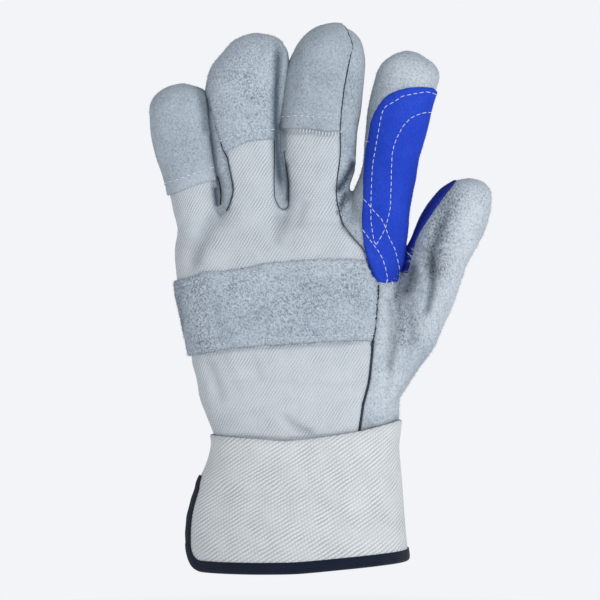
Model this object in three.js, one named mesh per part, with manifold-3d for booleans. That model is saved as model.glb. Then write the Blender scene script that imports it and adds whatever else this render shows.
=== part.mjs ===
// Work glove for the left hand, filled out as worn. Fingers point up (+Z), the back of the hand faces -Y and
// the thumb points to +X. The origin is the middle of the cuff's mouth. Millimetres.
import * as THREE from 'three';
import { mergeVertices } from 'three/addons/utils/BufferGeometryUtils.js';
import Module from 'manifold-3d';

const wasm = await Module();
wasm.setup();

// Driving sizes.
const LENGTH = 266;        // hem to the middle fingertip
const WIDTH = 164;         // little finger side to the thumb tip
const DEPTH = 60;          // cuff mouth, back to palm
const SKIN = 1.2;          // leather and canvas wall
const CAP = 1.2;           // sewn-on leather thickness
const GAP = 0.35;          // clearance between pieces
const CUFF_WALL = 1.4;     // stiff cuff sheet
const TAPE = 0.8;          // binding tape thickness
const TAPE_WIDTH = 4.6;    // how far the tape reaches in from the edge
const SLIT_HEIGHT = 0.178 * LENGTH;   // slit on the little finger side, above the hem
const SLIT_HALF = 0.045 * DEPTH;      // half the slit's width
const SLIT_CORNER = 0.2 * DEPTH;      // rounding of the slit's lower corners
const HEM_MIDDLE = 0.0115 * LENGTH;   // hem height in the middle of the hand
const HEM_SLOPE = 0.03 * LENGTH / 266 * 164 / WIDTH;   // hem rise towards the thumb side
const WRIST_EDGE = 0.242 * LENGTH;    // lower edge of the hand's skin, tucked in the cuff
const SQUARE = 2.35;       // how square the cross-sections are, 2 is an ellipse

// Cross-sections, each a share of the driving sizes: up and deep are heights and depths, mid and wide are
// places and widths across, palm is how far the section leans to the palm. keen is how square the section is on
// the little finger side, where it differs.
const HAND = [
  { up: 0.2274, mid: 0.0205, wide: 0.5268, deep: 0.717, palm: 0.000 },
  { up: 0.2562, mid: 0.0205, wide: 0.5327, deep: 0.725, palm: 0.000 },
  { up: 0.2779, mid: 0.0190, wide: 0.5473, deep: 0.750, palm: 0.000 },
  { up: 0.3248, mid: 0.0073, wide: 0.5824, deep: 0.753, palm: 0.000 },
  { up: 0.3898, mid: -0.0044, wide: 0.6263, deep: 0.742, palm: 0.000 },
  { up: 0.4620, mid: -0.0183, wide: 0.6483, deep: 0.717, palm: 0.000 },
  { up: 0.5377, mid: -0.0307, wide: 0.6498, deep: 0.667, palm: 0.000 },
  { up: 0.5883, mid: -0.0300, wide: 0.6571, deep: 0.625, palm: 0.000 },
  { up: 0.6208, mid: -0.0227, wide: 0.6424, deep: 0.550, palm: 0.000 },
  { up: 0.6370, mid: -0.0176, wide: 0.6146, deep: 0.417, palm: 0.000 },
  { up: 0.6478, mid: -0.0146, wide: 0.5502, deep: 0.217, palm: 0.000 },
];
const LITTLE = [
  { up: 0.5738, mid: -0.2839, wide: 0.0761, deep: 0.333, palm: 0.000 },
  { up: 0.6063, mid: -0.2883, wide: 0.1200, deep: 0.458, palm: 0.000 },
  { up: 0.6478, mid: -0.2949, wide: 0.1244, deep: 0.483, palm: 0.000 },
  { up: 0.6857, mid: -0.3088, wide: 0.1259, deep: 0.467, palm: 0.003 },
  { up: 0.7182, mid: -0.3198, wide: 0.1273, deep: 0.458, palm: 0.010 },
  { up: 0.7723, mid: -0.3359, wide: 0.1507, deep: 0.450, palm: 0.027 },
  { up: 0.8373, mid: -0.3481, wide: 0.1513, deep: 0.433, palm: 0.050 },
  { up: 0.8626, mid: -0.3454, wide: 0.1376, deep: 0.392, palm: 0.063 },
  { up: 0.8752, mid: -0.3395, wide: 0.0995, deep: 0.292, palm: 0.070 },
  { up: 0.8815, mid: -0.3380, wide: 0.0498, deep: 0.150, palm: 0.077 },
];
const RING = [
  { up: 0.5738, mid: -0.1332, wide: 0.1376, deep: 0.400, palm: -0.008 },
  { up: 0.6117, mid: -0.1332, wide: 0.1844, deep: 0.517, palm: -0.008 },
  { up: 0.6568, mid: -0.1339, wide: 0.1800, deep: 0.517, palm: -0.007 },
  { up: 0.7074, mid: -0.1420, wide: 0.1844, deep: 0.500, palm: 0.000 },
  { up: 0.7687, mid: -0.1510, wide: 0.1838, deep: 0.492, palm: 0.017 },
  { up: 0.8409, mid: -0.1529, wide: 0.2040, deep: 0.478, palm: 0.040 },
  { up: 0.8986, mid: -0.1443, wide: 0.2172, deep: 0.458, palm: 0.063 },
  { up: 0.9311, mid: -0.1310, wide: 0.1976, deep: 0.425, palm: 0.075 },
  { up: 0.9546, mid: -0.1215, wide: 0.1522, deep: 0.342, palm: 0.087 },
  { up: 0.9663, mid: -0.1200, wide: 0.0995, deep: 0.233, palm: 0.093 },
  { up: 0.9726, mid: -0.1200, wide: 0.0468, deep: 0.117, palm: 0.097 },
];
const MIDDLE = [
  { up: 0.5738, mid: 0.0629, wide: 0.1668, deep: 0.417, palm: -0.010 },
  { up: 0.6117, mid: 0.0585, wide: 0.2107, deep: 0.533, palm: -0.010 },
  { up: 0.6586, mid: 0.0575, wide: 0.1952, deep: 0.533, palm: -0.007 },
  { up: 0.7002, mid: 0.0560, wide: 0.1923, deep: 0.517, palm: 0.000 },
  { up: 0.7543, mid: 0.0603, wide: 0.2154, deep: 0.508, palm: 0.012 },
  { up: 0.8373, mid: 0.0739, wide: 0.2210, deep: 0.495, palm: 0.037 },
  { up: 0.8950, mid: 0.0853, wide: 0.2175, deep: 0.483, palm: 0.057 },
  { up: 0.9347, mid: 0.0932, wide: 0.2040, deep: 0.458, palm: 0.072 },
  { up: 0.9672, mid: 0.1014, wide: 0.1677, deep: 0.375, palm: 0.083 },
  { up: 0.9835, mid: 0.1076, wide: 0.1185, deep: 0.250, palm: 0.092 },
  { up: 0.9916, mid: 0.1112, wide: 0.0644, deep: 0.133, palm: 0.097 },
];
const INDEX = [
  { up: 0.5305, mid: 0.2224, wide: 0.0937, deep: 0.400, palm: 0.000 },
  { up: 0.5630, mid: 0.2251, wide: 0.1399, deep: 0.533, palm: 0.000 },
  { up: 0.6099, mid: 0.2287, wide: 0.1560, deep: 0.533, palm: 0.000 },
  { up: 0.6785, mid: 0.2393, wide: 0.1706, deep: 0.517, palm: 0.000 },
  { up: 0.7290, mid: 0.2539, wide: 0.1712, deep: 0.500, palm: 0.013 },
  { up: 0.7868, mid: 0.2759, wide: 0.1695, deep: 0.492, palm: 0.033 },
  { up: 0.8517, mid: 0.2977, wide: 0.1797, deep: 0.475, palm: 0.055 },
  { up: 0.8950, mid: 0.3161, wide: 0.1873, deep: 0.450, palm: 0.070 },
  { up: 0.9185, mid: 0.3205, wide: 0.1727, deep: 0.392, palm: 0.078 },
  { up: 0.9347, mid: 0.3198, wide: 0.1273, deep: 0.300, palm: 0.087 },
  { up: 0.9456, mid: 0.3161, wide: 0.0585, deep: 0.150, palm: 0.092 },
];
const THUMB = [
  { up: 0.3032, mid: 0.2488, wide: 0.0527, deep: 0.433, palm: 0.017 },
  { up: 0.3320, mid: 0.2656, wide: 0.0863, deep: 0.567, palm: 0.025 },
  { up: 0.3753, mid: 0.2949, wide: 0.1215, deep: 0.600, palm: 0.033 },
  { up: 0.4168, mid: 0.3266, wide: 0.1499, deep: 0.600, palm: 0.033 },
  { up: 0.4764, mid: 0.3571, wide: 0.1756, deep: 0.583, palm: 0.033 },
  { up: 0.5323, mid: 0.3863, wide: 0.1815, deep: 0.567, palm: 0.033 },
  { up: 0.5486, mid: 0.4024, wide: 0.1698, deep: 0.558, palm: 0.037 },
  { up: 0.5883, mid: 0.4235, wide: 0.1879, deep: 0.543, palm: 0.042 },
  { up: 0.6352, mid: 0.4531, wide: 0.2002, deep: 0.512, palm: 0.053 },
  { up: 0.6677, mid: 0.4722, wide: 0.1835, deep: 0.475, palm: 0.062 },
  { up: 0.6893, mid: 0.4880, wide: 0.1537, deep: 0.417, palm: 0.068 },
  { up: 0.7047, mid: 0.4976, wide: 0.1112, deep: 0.300, palm: 0.075 },
  { up: 0.7146, mid: 0.5020, wide: 0.0615, deep: 0.150, palm: 0.080 },
];
const CUFF = [
  { up: -0.0090, mid: -0.0007, wide: 0.6454, deep: 1.025, palm: 0, keen: 1.60 },
  { up: 0.0361, mid: -0.0034, wide: 0.6506, deep: 1.025, palm: 0, keen: 1.60 },
  { up: 0.1047, mid: -0.0064, wide: 0.6369, deep: 0.975, palm: 0, keen: 1.65 },
  { up: 0.1588, mid: 0.0022, wide: 0.6073, deep: 0.908, palm: 0, keen: 1.75 },
  { up: 0.2021, mid: 0.0155, wide: 0.5696, deep: 0.850, palm: 0, keen: 2.00 },
  { up: 0.2346, mid: 0.0206, wide: 0.5517, deep: 0.803, palm: 0, keen: 2.35 },
  { up: 0.2562, mid: 0.0209, wide: 0.5581, deep: 0.797, palm: 0, keen: 2.35 },
  { up: 0.2743, mid: 0.0205, wide: 0.5666, deep: 0.823, palm: 0, keen: 2.35 },
  { up: 0.2959, mid: 0.0139, wide: 0.5839, deep: 0.833, palm: 0, keen: 2.35 },
];

// Outlines of the pieces seen from the back of the hand: [across as a share of WIDTH, up as a share of LENGTH].
const CANVAS_EDGE = [
  [-0.5795, 0.1913], [-0.5795, 0.9311], [-0.2780, 0.9311], [-0.2722, 0.8716], [-0.2693, 0.8156],
  [-0.2620, 0.7633], [-0.2488, 0.7110], [-0.2459, 0.6929], [-0.2385, 0.6586], [-0.2283, 0.6496],
  [-0.2020, 0.6586], [-0.1873, 0.6965], [-0.2122, 0.7633], [-0.2312, 0.8012], [-0.2488, 0.8391],
  [-0.2532, 0.8734], [-0.2488, 0.9311], [-0.2488, 1.0394], [-0.0498, 1.0394], [-0.0498, 0.9636],
  [-0.0556, 0.9203], [-0.0673, 0.8842], [-0.0702, 0.8535], [-0.0702, 0.7886], [-0.0702, 0.6803],
  [-0.0556, 0.6623], [-0.0410, 0.6586], [-0.0263, 0.6623], [-0.0263, 0.7038], [-0.0380, 0.7507],
  [-0.0351, 0.7958], [-0.0263, 0.8517], [-0.0146, 0.9005], [-0.0059, 0.9311], [0.0000, 1.0394],
  [0.1346, 1.0394], [0.1493, 0.9681], [0.1580, 0.9492], [0.1507, 0.9329], [0.1405, 0.9086],
  [0.1317, 0.8770], [0.1259, 0.8445], [0.1200, 0.8120], [0.1200, 0.7435], [0.1141, 0.7128],
  [0.1112, 0.6875], [0.1141, 0.6641], [0.1229, 0.6424], [0.1288, 0.6280], [0.1580, 0.6072],
  [0.1844, 0.5910], [0.1932, 0.5792], [0.1990, 0.5666], [0.2137, 0.5450], [0.2341, 0.5269],
  [0.2254, 0.4854], [0.2166, 0.4277], [0.2122, 0.3952], [0.2049, 0.3519], [0.1873, 0.3122],
  [0.1771, 0.2671], [0.1698, 0.1913],
];
const INDEX_ZONE = [
  [0.1259, 0.6605], [0.1507, 0.6875], [0.1528, 0.6983], [0.1616, 0.7146], [0.1698, 0.7326],
  [0.1744, 0.7507], [0.1785, 0.7687], [0.1829, 0.7868], [0.1873, 0.8048], [0.1917, 0.8229],
  [0.1949, 0.8409], [0.1990, 0.8589], [0.2037, 0.8770], [0.2078, 0.8950], [0.2131, 0.9131],
  [0.2166, 0.9492], [0.2166, 1.0394], [0.4741, 1.0394], [0.4741, 0.8589], [0.3863, 0.7146],
  [0.3571, 0.6785], [0.3454, 0.6605], [0.3366, 0.6424], [0.3293, 0.6244], [0.3220, 0.6063],
  [0.3161, 0.5883], [0.3111, 0.5702], [0.3073, 0.5540], [0.2078, 0.5540], [0.1990, 0.5666],
  [0.1932, 0.5792], [0.1844, 0.5910], [0.1580, 0.6072], [0.1288, 0.6280],
];
const THUMB_ZONE = [
  [0.3863, 0.7687], [0.3863, 0.7146], [0.3571, 0.6785], [0.3454, 0.6605], [0.3366, 0.6424],
  [0.3293, 0.6244], [0.3220, 0.6063], [0.3161, 0.5883], [0.3111, 0.5702], [0.3073, 0.5540],
  [0.3015, 0.5323], [0.3366, 0.4872], [0.3746, 0.4403], [0.4068, 0.3934], [0.4507, 0.3447],
  [0.6790, 0.3447], [0.6790, 0.7687],
];
const LITTLE_ZONE = [
  [-0.5795, 0.6316], [-0.5795, 1.0394], [-0.2634, 1.0394], [-0.2640, 0.8589], [-0.2593, 0.8156],
  [-0.2502, 0.7633], [-0.2450, 0.7110], [-0.2371, 0.6713], [-0.2283, 0.6316],
];
const RING_ZONE = [
  [-0.2283, 0.6316], [-0.2371, 0.6713], [-0.2450, 0.7110], [-0.2502, 0.7633], [-0.2593, 0.8156],
  [-0.2640, 0.8589], [-0.2634, 1.0394], [-0.0176, 1.0394], [-0.0234, 0.9492], [-0.0293, 0.9131],
  [-0.0351, 0.8860], [-0.0439, 0.8517], [-0.0506, 0.8138], [-0.0539, 0.7687], [-0.0498, 0.7326],
  [-0.0448, 0.6965], [-0.0421, 0.6586], [-0.0410, 0.6316],
];
const MIDDLE_ZONE = [
  [-0.0410, 0.6316], [-0.0421, 0.6586], [-0.0448, 0.6965], [-0.0498, 0.7326], [-0.0539, 0.7687],
  [-0.0506, 0.8138], [-0.0439, 0.8517], [-0.0351, 0.8860], [-0.0293, 0.9131], [-0.0234, 0.9492],
  [-0.0176, 1.0394], [0.2166, 1.0394], [0.2166, 0.9492], [0.2131, 0.9131], [0.2078, 0.8950],
  [0.2037, 0.8770], [0.1990, 0.8589], [0.1949, 0.8409], [0.1917, 0.8229], [0.1873, 0.8048],
  [0.1829, 0.7868], [0.1785, 0.7687], [0.1744, 0.7507], [0.1698, 0.7326], [0.1616, 0.7146],
  [0.1528, 0.6983], [0.1507, 0.6875], [0.1259, 0.6605], [0.1273, 0.6316],
];
const LITTLE_CAP_EDGE = [
  [-0.4917, 0.9311], [-0.2049, 0.9311], [-0.2049, 0.7218], [-0.2517, 0.7110], [-0.2839, 0.7056],
  [-0.3132, 0.6983], [-0.3454, 0.6911], [-0.3746, 0.6864], [-0.4917, 0.6677],
];
const RING_CAP_EDGE = [
  [-0.3161, 1.0214], [-0.3161, 0.8806], [-0.2649, 0.8725], [-0.2488, 0.8391], [-0.2312, 0.8012],
  [-0.2107, 0.7633], [-0.1785, 0.7705], [-0.1493, 0.7795], [-0.1259, 0.7823], [-0.0717, 0.7859],
  [-0.0702, 0.8535], [-0.0673, 0.8842], [-0.0527, 0.9203], [-0.0468, 0.9438], [-0.0498, 0.9636],
  [-0.0585, 1.0214],
];
const MIDDLE_CAP_EDGE = [
  [-0.0820, 1.0394], [-0.0820, 0.8057], [-0.0468, 0.8048], [-0.0029, 0.8039], [0.0380, 0.8021],
  [0.0761, 0.7976], [0.1200, 0.7994], [0.1200, 0.8120], [0.1259, 0.8445], [0.1317, 0.8770],
  [0.1405, 0.9086], [0.1507, 0.9329], [0.1580, 0.9492], [0.1493, 0.9681], [0.1376, 0.9871],
  [0.1259, 0.9997], [0.1171, 1.0394],
];
const STRAP_EDGE = [
  [-0.4624, 0.5215], [-0.3629, 0.5305], [-0.2927, 0.5414], [-0.2751, 0.5477], [-0.1990, 0.5504],
  [-0.1434, 0.5558], [-0.1054, 0.5621], [-0.0366, 0.5666], [0.0322, 0.5693], [0.1259, 0.5708],
  [0.1932, 0.5697], [0.2020, 0.5558], [0.2122, 0.5386], [0.2298, 0.5251], [0.2254, 0.4854],
  [0.2166, 0.4268], [0.1054, 0.4241], [0.0088, 0.4205], [-0.0937, 0.4168], [-0.1815, 0.4132],
  [-0.2576, 0.4049], [-0.3073, 0.3988], [-0.3263, 0.3988], [-0.4624, 0.3862],
];
const INDEX_PATCH_EDGE = [
  [0.5034, 0.8716], [0.4039, 0.8761], [0.3907, 0.8795], [0.3571, 0.8795], [0.3237, 0.8781],
  [0.2927, 0.8734], [0.2663, 0.8662], [0.2488, 0.8571], [0.2341, 0.8445], [0.2224, 0.8319],
  [0.2137, 0.8156], [0.2078, 0.7940], [0.2005, 0.7705], [0.1961, 0.7525], [0.1917, 0.7146],
  [0.1902, 0.6767], [0.1867, 0.6514], [0.1867, 0.6226], [0.1902, 0.5973], [0.1990, 0.5756],
  [0.2093, 0.5468], [0.2166, 0.5377], [0.2312, 0.5305], [0.2488, 0.5287], [0.2985, 0.5314],
  [0.3053, 0.5522], [0.3088, 0.5702], [0.3138, 0.5883], [0.3196, 0.6063], [0.3272, 0.6244],
  [0.3337, 0.6424], [0.3424, 0.6605], [0.3541, 0.6785], [0.3834, 0.7146], [0.5034, 0.8409],
];
const THUMB_PATCH_EDGE = [
  [0.4537, 0.7146], [0.4332, 0.6965], [0.4068, 0.6812], [0.3746, 0.6514], [0.3541, 0.6271],
  [0.3439, 0.6081], [0.3337, 0.5738], [0.3161, 0.5477], [0.3102, 0.5540], [0.3132, 0.5702],
  [0.3190, 0.5883], [0.3249, 0.6063], [0.3307, 0.6244], [0.3395, 0.6424], [0.3483, 0.6605],
  [0.3600, 0.6785], [0.3893, 0.7146], [0.4156, 0.7326],
];

function toSolid(geometry) {
  const g = geometry.clone();
  g.deleteAttribute('normal');
  g.deleteAttribute('uv');
  const merged = mergeVertices(g, 1e-4);
  return new wasm.Manifold(new wasm.Mesh({
    numProp: 3,
    vertProperties: new Float32Array(merged.attributes.position.array),
    triVerts: new Uint32Array(merged.index.array),
  }));
}

function toGeometry(solid) {
  const bodies = solid.decompose();
  let main = bodies[0];
  for (const body of bodies) {
    if (body.volume() > main.volume()) main = body;
  }
  const mesh = main.getMesh();
  const geometry = new THREE.BufferGeometry();
  geometry.setAttribute('position', new THREE.BufferAttribute(new Float32Array(mesh.vertProperties), 3));
  geometry.setIndex(new THREE.BufferAttribute(new Uint32Array(mesh.triVerts), 1));
  geometry.computeVertexNormals();
  return geometry;
}

// A closed tube through horizontal sections, moved out by `out` along its surface (in when negative).
function tube(rows, segments, out) {
  const points = [];
  const faces = [];
  const count = rows.length;
  const halves = rows.map((row) => (row.wide * WIDTH + row.deep * DEPTH) / 4);
  rows.forEach((row, k) => {
    const below = Math.max(k - 1, 0);
    const above = Math.min(k + 1, count - 1);
    const rise = (rows[above].up - rows[below].up) * LENGTH;
    const grow = halves[above] - halves[below];
    const slope = Math.hypot(rise, grow);
    const side = out * rise / slope;
    const lift = k === 0 ? -Math.abs(out) : -out * grow / slope;
    const a = row.wide * WIDTH / 2 + side;
    const b = row.deep * DEPTH / 2 + side;
    for (let i = 0; i < segments; i += 1) {
      const turn = (i + 0.5) / segments * Math.PI * 2;
      const c = Math.cos(turn);
      const s = Math.sin(turn);
      const power = 2 / (c < 0 && row.keen ? row.keen : SQUARE);
      points.push(
        row.mid * WIDTH + a * Math.sign(c) * Math.abs(c) ** power,
        row.palm * DEPTH + b * Math.sign(s) * Math.abs(s) ** power,
        row.up * LENGTH + lift,
      );
    }
  });
  for (let k = 0; k < count - 1; k += 1) {
    for (let i = 0; i < segments; i += 1) {
      const j = (i + 1) % segments;
      const p = k * segments + i;
      const q = k * segments + j;
      faces.push(p, q, q + segments, p, q + segments, p + segments);
    }
  }
  const low = points.length / 3;
  const first = rows[0];
  const last = rows[count - 1];
  points.push(first.mid * WIDTH, first.palm * DEPTH, first.up * LENGTH - Math.abs(out));
  points.push(last.mid * WIDTH, last.palm * DEPTH, last.up * LENGTH + out + 0.004 * LENGTH);
  for (let i = 0; i < segments; i += 1) {
    const j = (i + 1) % segments;
    faces.push(low, j, i);
    faces.push(low + 1, (count - 1) * segments + i, (count - 1) * segments + j);
  }
  return new wasm.Manifold(new wasm.Mesh({
    numProp: 3,
    vertProperties: new Float32Array(points),
    triVerts: new Uint32Array(faces),
  }));
}

// Moves every side of an outline out by `out` (in when negative).
function grown(outline, out) {
  const pts = outline.map(([x, z]) => new THREE.Vector2(x * WIDTH, z * LENGTH));
  if (THREE.ShapeUtils.isClockWise(pts)) pts.reverse();
  if (out === 0) return pts;
  const n = pts.length;
  return pts.map((p, i) => {
    const a = p.clone().sub(pts[(i + n - 1) % n]).normalize();
    const b = pts[(i + 1) % n].clone().sub(p).normalize();
    const na = new THREE.Vector2(a.y, -a.x);
    const nb = new THREE.Vector2(b.y, -b.x);
    const m = na.clone().add(nb).normalize();
    const reach = out / Math.max(m.dot(na), 0.5);
    return p.clone().addScaledVector(m, reach);
  });
}

// An outline in the XZ plane as a solid through the hand, from Y = back to Y = front.
function through(points, back, front) {
  const shape = new THREE.Shape(points);
  const solid = new THREE.ExtrudeGeometry(shape, { depth: front - back, bevelEnabled: false });
  solid.rotateX(Math.PI / 2);
  solid.translate(0, front, 0);
  return toSolid(solid);
}

const FAR = DEPTH * 2;
const cut = (outline, out, front = FAR) => through(grown(outline, out), -FAR, front + (front < FAR ? out : 0));

function boxSolid(x0, x1, y0, y1, z0, z1) {
  const box = new THREE.BoxGeometry(x1 - x0, y1 - y0, z1 - z0);
  box.translate((x0 + x1) / 2, (y0 + y1) / 2, (z0 + z1) / 2);
  return toSolid(box);
}

// Each tube with the number of its facets round the outside and round the inside.
const TUBES = [[HAND, 28, 22], [LITTLE, 16, 12], [RING, 16, 12], [MIDDLE, 16, 12], [INDEX, 16, 12], [THUMB, 18, 12]];
const form = (out) => TUBES.map(([rows, n, m]) => tube(rows, out < 0 ? m : n, out))
  .reduce((all, one) => all.add(one));

// The glove's skin: a hollow wall round the hand and all five fingers, open at the wrist.
const outer = form(0);
const inner = form(-SKIN);
const belowWrist = boxSolid(-WIDTH, WIDTH, -FAR, FAR, -LENGTH, WRIST_EDGE);
const skin = outer.subtract(inner).subtract(belowWrist);

const SIDE = 0.02 * DEPTH;     // the seam along the sides of the hand
const canvasCut = (out) => cut(CANVAS_EDGE, out, SIDE);
const indexCut = (out) => cut(INDEX_ZONE, out);
const thumbCut = (out) => cut(THUMB_ZONE, out);
const zoneCut = (zone, out) => cut(zone, out);

const backCanvas = skin.intersect(canvasCut(0)).subtract(indexCut(GAP)).subtract(thumbCut(GAP));
const indexLeather = skin.intersect(indexCut(0));
const thumbLeather = skin.intersect(thumbCut(0)).subtract(indexCut(GAP));
const fingerLeather = (zone) => skin.intersect(zoneCut(zone, -GAP / 2))
  .subtract(canvasCut(GAP)).subtract(indexCut(GAP));
const palmLeather = skin.subtract(canvasCut(GAP)).subtract(indexCut(GAP)).subtract(thumbCut(GAP))
  .subtract(zoneCut(LITTLE_ZONE, GAP / 2)).subtract(zoneCut(RING_ZONE, GAP / 2))
  .subtract(zoneCut(MIDDLE_ZONE, GAP / 2));

// Leather sewn on top of the skin.
const clearance = form(GAP);
const onTop = (tubes, outline, front) => tubes
  .map(([rows, n]) => tube(rows, n, GAP + CAP))
  .reduce((all, one) => all.add(one))
  .subtract(clearance)
  .intersect(cut(outline, 0, front));
const WRAP = 0.09 * DEPTH;     // how far the sewn-on pieces reach round the side
const littleCap = onTop([TUBES[1]], LITTLE_CAP_EDGE, WRAP);
const ringCap = onTop([TUBES[2]], RING_CAP_EDGE, WRAP);
const middleCap = onTop([TUBES[3]], MIDDLE_CAP_EDGE, WRAP);
const knuckleStrap = onTop([TUBES[0]], STRAP_EDGE, WRAP);
const indexPatch = onTop([TUBES[0], TUBES[4]], INDEX_PATCH_EDGE, 1.5 * WRAP);
const thumbPatch = onTop([TUBES[5]], THUMB_PATCH_EDGE, FAR);

// The cuff: a flared wall with a slit on the little finger side, its hem rising to the thumb side.
function hemCut(out) {
  const left = -WIDTH;
  const right = WIDTH;
  const at = (x) => HEM_MIDDLE + HEM_SLOPE * x + out;
  return through([
    new THREE.Vector2(left, -LENGTH), new THREE.Vector2(right, -LENGTH),
    new THREE.Vector2(right, at(right)), new THREE.Vector2(left, at(left)),
  ], -FAR, FAR);
}
function slitCut(out) {
  const half = SLIT_HALF + out;
  const round = Math.max(SLIT_CORNER - out, 0.5);
  const foot = HEM_MIDDLE + HEM_SLOPE * -0.33 * WIDTH;
  const side = [];
  for (let k = 0; k <= 5; k += 1) {
    const a = (k / 5) * Math.PI / 2;
    side.push([half + round * (1 - Math.cos(a)), foot + out + round * (1 - Math.sin(a))]);
  }
  const top = SLIT_HEIGHT + out;
  const right = [[half * 0.5, top], [half, top - half], ...side, [half + round, foot - LENGTH / 4]];
  const left = right.map(([y, z]) => [-y, z]).reverse();
  const shape = new THREE.Shape([...right, ...left].map(([y, z]) => new THREE.Vector2(y, z)));
  const solid = new THREE.ExtrudeGeometry(shape, { depth: WIDTH, bevelEnabled: false });
  // The outline's first axis is turned to Y and its second to Z, running along -X.
  solid.applyMatrix4(new THREE.Matrix4().set(
    0, 0, 1, -WIDTH - WIDTH * 0.1,
    1, 0, 0, 0,
    0, 1, 0, 0,
    0, 0, 0, 1,
  ));
  return toSolid(solid);
}
// The cuff's upper edge, higher on the thumb side.
const CUFF_TOP = [
  [-0.9, 0.2553], [-0.2546, 0.2553], [-0.13, 0.2517], [-0.04, 0.2480], [0.0322, 0.2517], [0.1054, 0.2580],
  [0.18, 0.2645], [0.29, 0.2815], [0.9, 0.2815],
];
const aboveTop = (out) => through([
  ...CUFF_TOP.map(([x, z]) => new THREE.Vector2(x * WIDTH, z * LENGTH + out)),
  new THREE.Vector2(0.9 * WIDTH, LENGTH), new THREE.Vector2(-0.9 * WIDTH, LENGTH),
], -FAR, FAR);
const cuffTube = (out) => tube(CUFF, 24, out);
const cuffWall = cuffTube(0).subtract(cuffTube(-CUFF_WALL).add(outer.add(form(GAP))));
const cuff = cuffWall.subtract(aboveTop(0)).subtract(hemCut(0)).subtract(slitCut(0));

// The tape, folded over the hem and round the slit.
const tapeOut = GAP + TAPE;
const tapeBody = cuffTube(tapeOut).subtract(cuffTube(-CUFF_WALL - tapeOut))
  .intersect(hemCut(TAPE_WIDTH).add(slitCut(TAPE_WIDTH)))
  .subtract(hemCut(-tapeOut)).subtract(slitCut(-tapeOut));
const cuffRoom = cuffTube(GAP).subtract(cuffTube(-CUFF_WALL - GAP)).subtract(hemCut(-GAP)).subtract(slitCut(-GAP));
const cuffBinding = tapeBody.subtract(cuffRoom);

const greyLeather = new THREE.MeshStandardMaterial({ color: 0xb0bac6, roughness: 0.95, metalness: 0 });
const blueLeather = new THREE.MeshStandardMaterial({ color: 0x3636c8, roughness: 0.9, metalness: 0 });
const canvas = new THREE.MeshStandardMaterial({ color: 0xc4cdd6, roughness: 0.9, metalness: 0 });
const stiffTwill = new THREE.MeshStandardMaterial({ color: 0xc8ced4, roughness: 0.85, metalness: 0 });
const navyTape = new THREE.MeshStandardMaterial({ color: 0x1c2a3c, roughness: 0.8, metalness: 0 });

const glove = new THREE.Group();
const add = (name, solid, material) => {
  const mesh = new THREE.Mesh(toGeometry(solid), material);
  mesh.name = name;
  glove.add(mesh);
};
add('palm_leather', palmLeather, greyLeather);
add('thumb_leather', thumbLeather, greyLeather);
add('index_leather', indexLeather, greyLeather);
add('middle_leather', fingerLeather(MIDDLE_ZONE), greyLeather);
add('ring_leather', fingerLeather(RING_ZONE), greyLeather);
add('little_leather', fingerLeather(LITTLE_ZONE), greyLeather);
add('back_canvas', backCanvas, canvas);
add('little_cap', littleCap, greyLeather);
add('ring_cap', ringCap, greyLeather);
add('middle_cap', middleCap, greyLeather);
add('knuckle_strap', knuckleStrap, greyLeather);
add('index_patch', indexPatch, blueLeather);
add('thumb_patch', thumbPatch, blueLeather);
add('cuff', cuff, stiffTwill);
add('cuff_binding', cuffBinding, navyTape);

export default glove;
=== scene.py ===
# %% [markdown]
# A worn leather and canvas work glove, with the back of the left hand towards us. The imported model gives
# the sizes and places of its pieces, and everything here shares its frame: metres, Z up, the back of the
# hand faces -Y. Tables are kept in millimetres, because that is how a glove is measured, and their points
# are (across, up) as seen from the back.

# %% Load the frame
import math
import bpy
import numpy as np
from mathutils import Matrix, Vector
from mathutils import noise as mnoise
from mathutils.bvhtree import BVHTree
from mathutils.geometry import delaunay_2d_cdt


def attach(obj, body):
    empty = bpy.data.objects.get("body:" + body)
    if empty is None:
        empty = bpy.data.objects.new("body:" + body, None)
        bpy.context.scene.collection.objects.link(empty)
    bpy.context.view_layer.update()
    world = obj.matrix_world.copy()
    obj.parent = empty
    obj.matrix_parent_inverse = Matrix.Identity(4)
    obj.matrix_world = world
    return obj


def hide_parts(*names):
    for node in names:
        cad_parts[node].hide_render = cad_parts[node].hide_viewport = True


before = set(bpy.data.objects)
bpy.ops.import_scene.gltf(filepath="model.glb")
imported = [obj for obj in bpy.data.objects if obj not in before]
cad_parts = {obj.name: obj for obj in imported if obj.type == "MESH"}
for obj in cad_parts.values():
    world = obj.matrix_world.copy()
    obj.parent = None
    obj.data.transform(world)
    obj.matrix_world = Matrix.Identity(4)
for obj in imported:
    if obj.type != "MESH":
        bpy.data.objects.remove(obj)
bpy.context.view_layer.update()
MM = 0.001

# %% [markdown]
# A glove's hand is a flat, wide tube that opens at the cuff. It could be sculpted, but a table of
# cross-sections is easier to read and to change. Each row: height, left edge, right edge, thickness from
# back to palm, and lean to the palm side.

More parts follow.
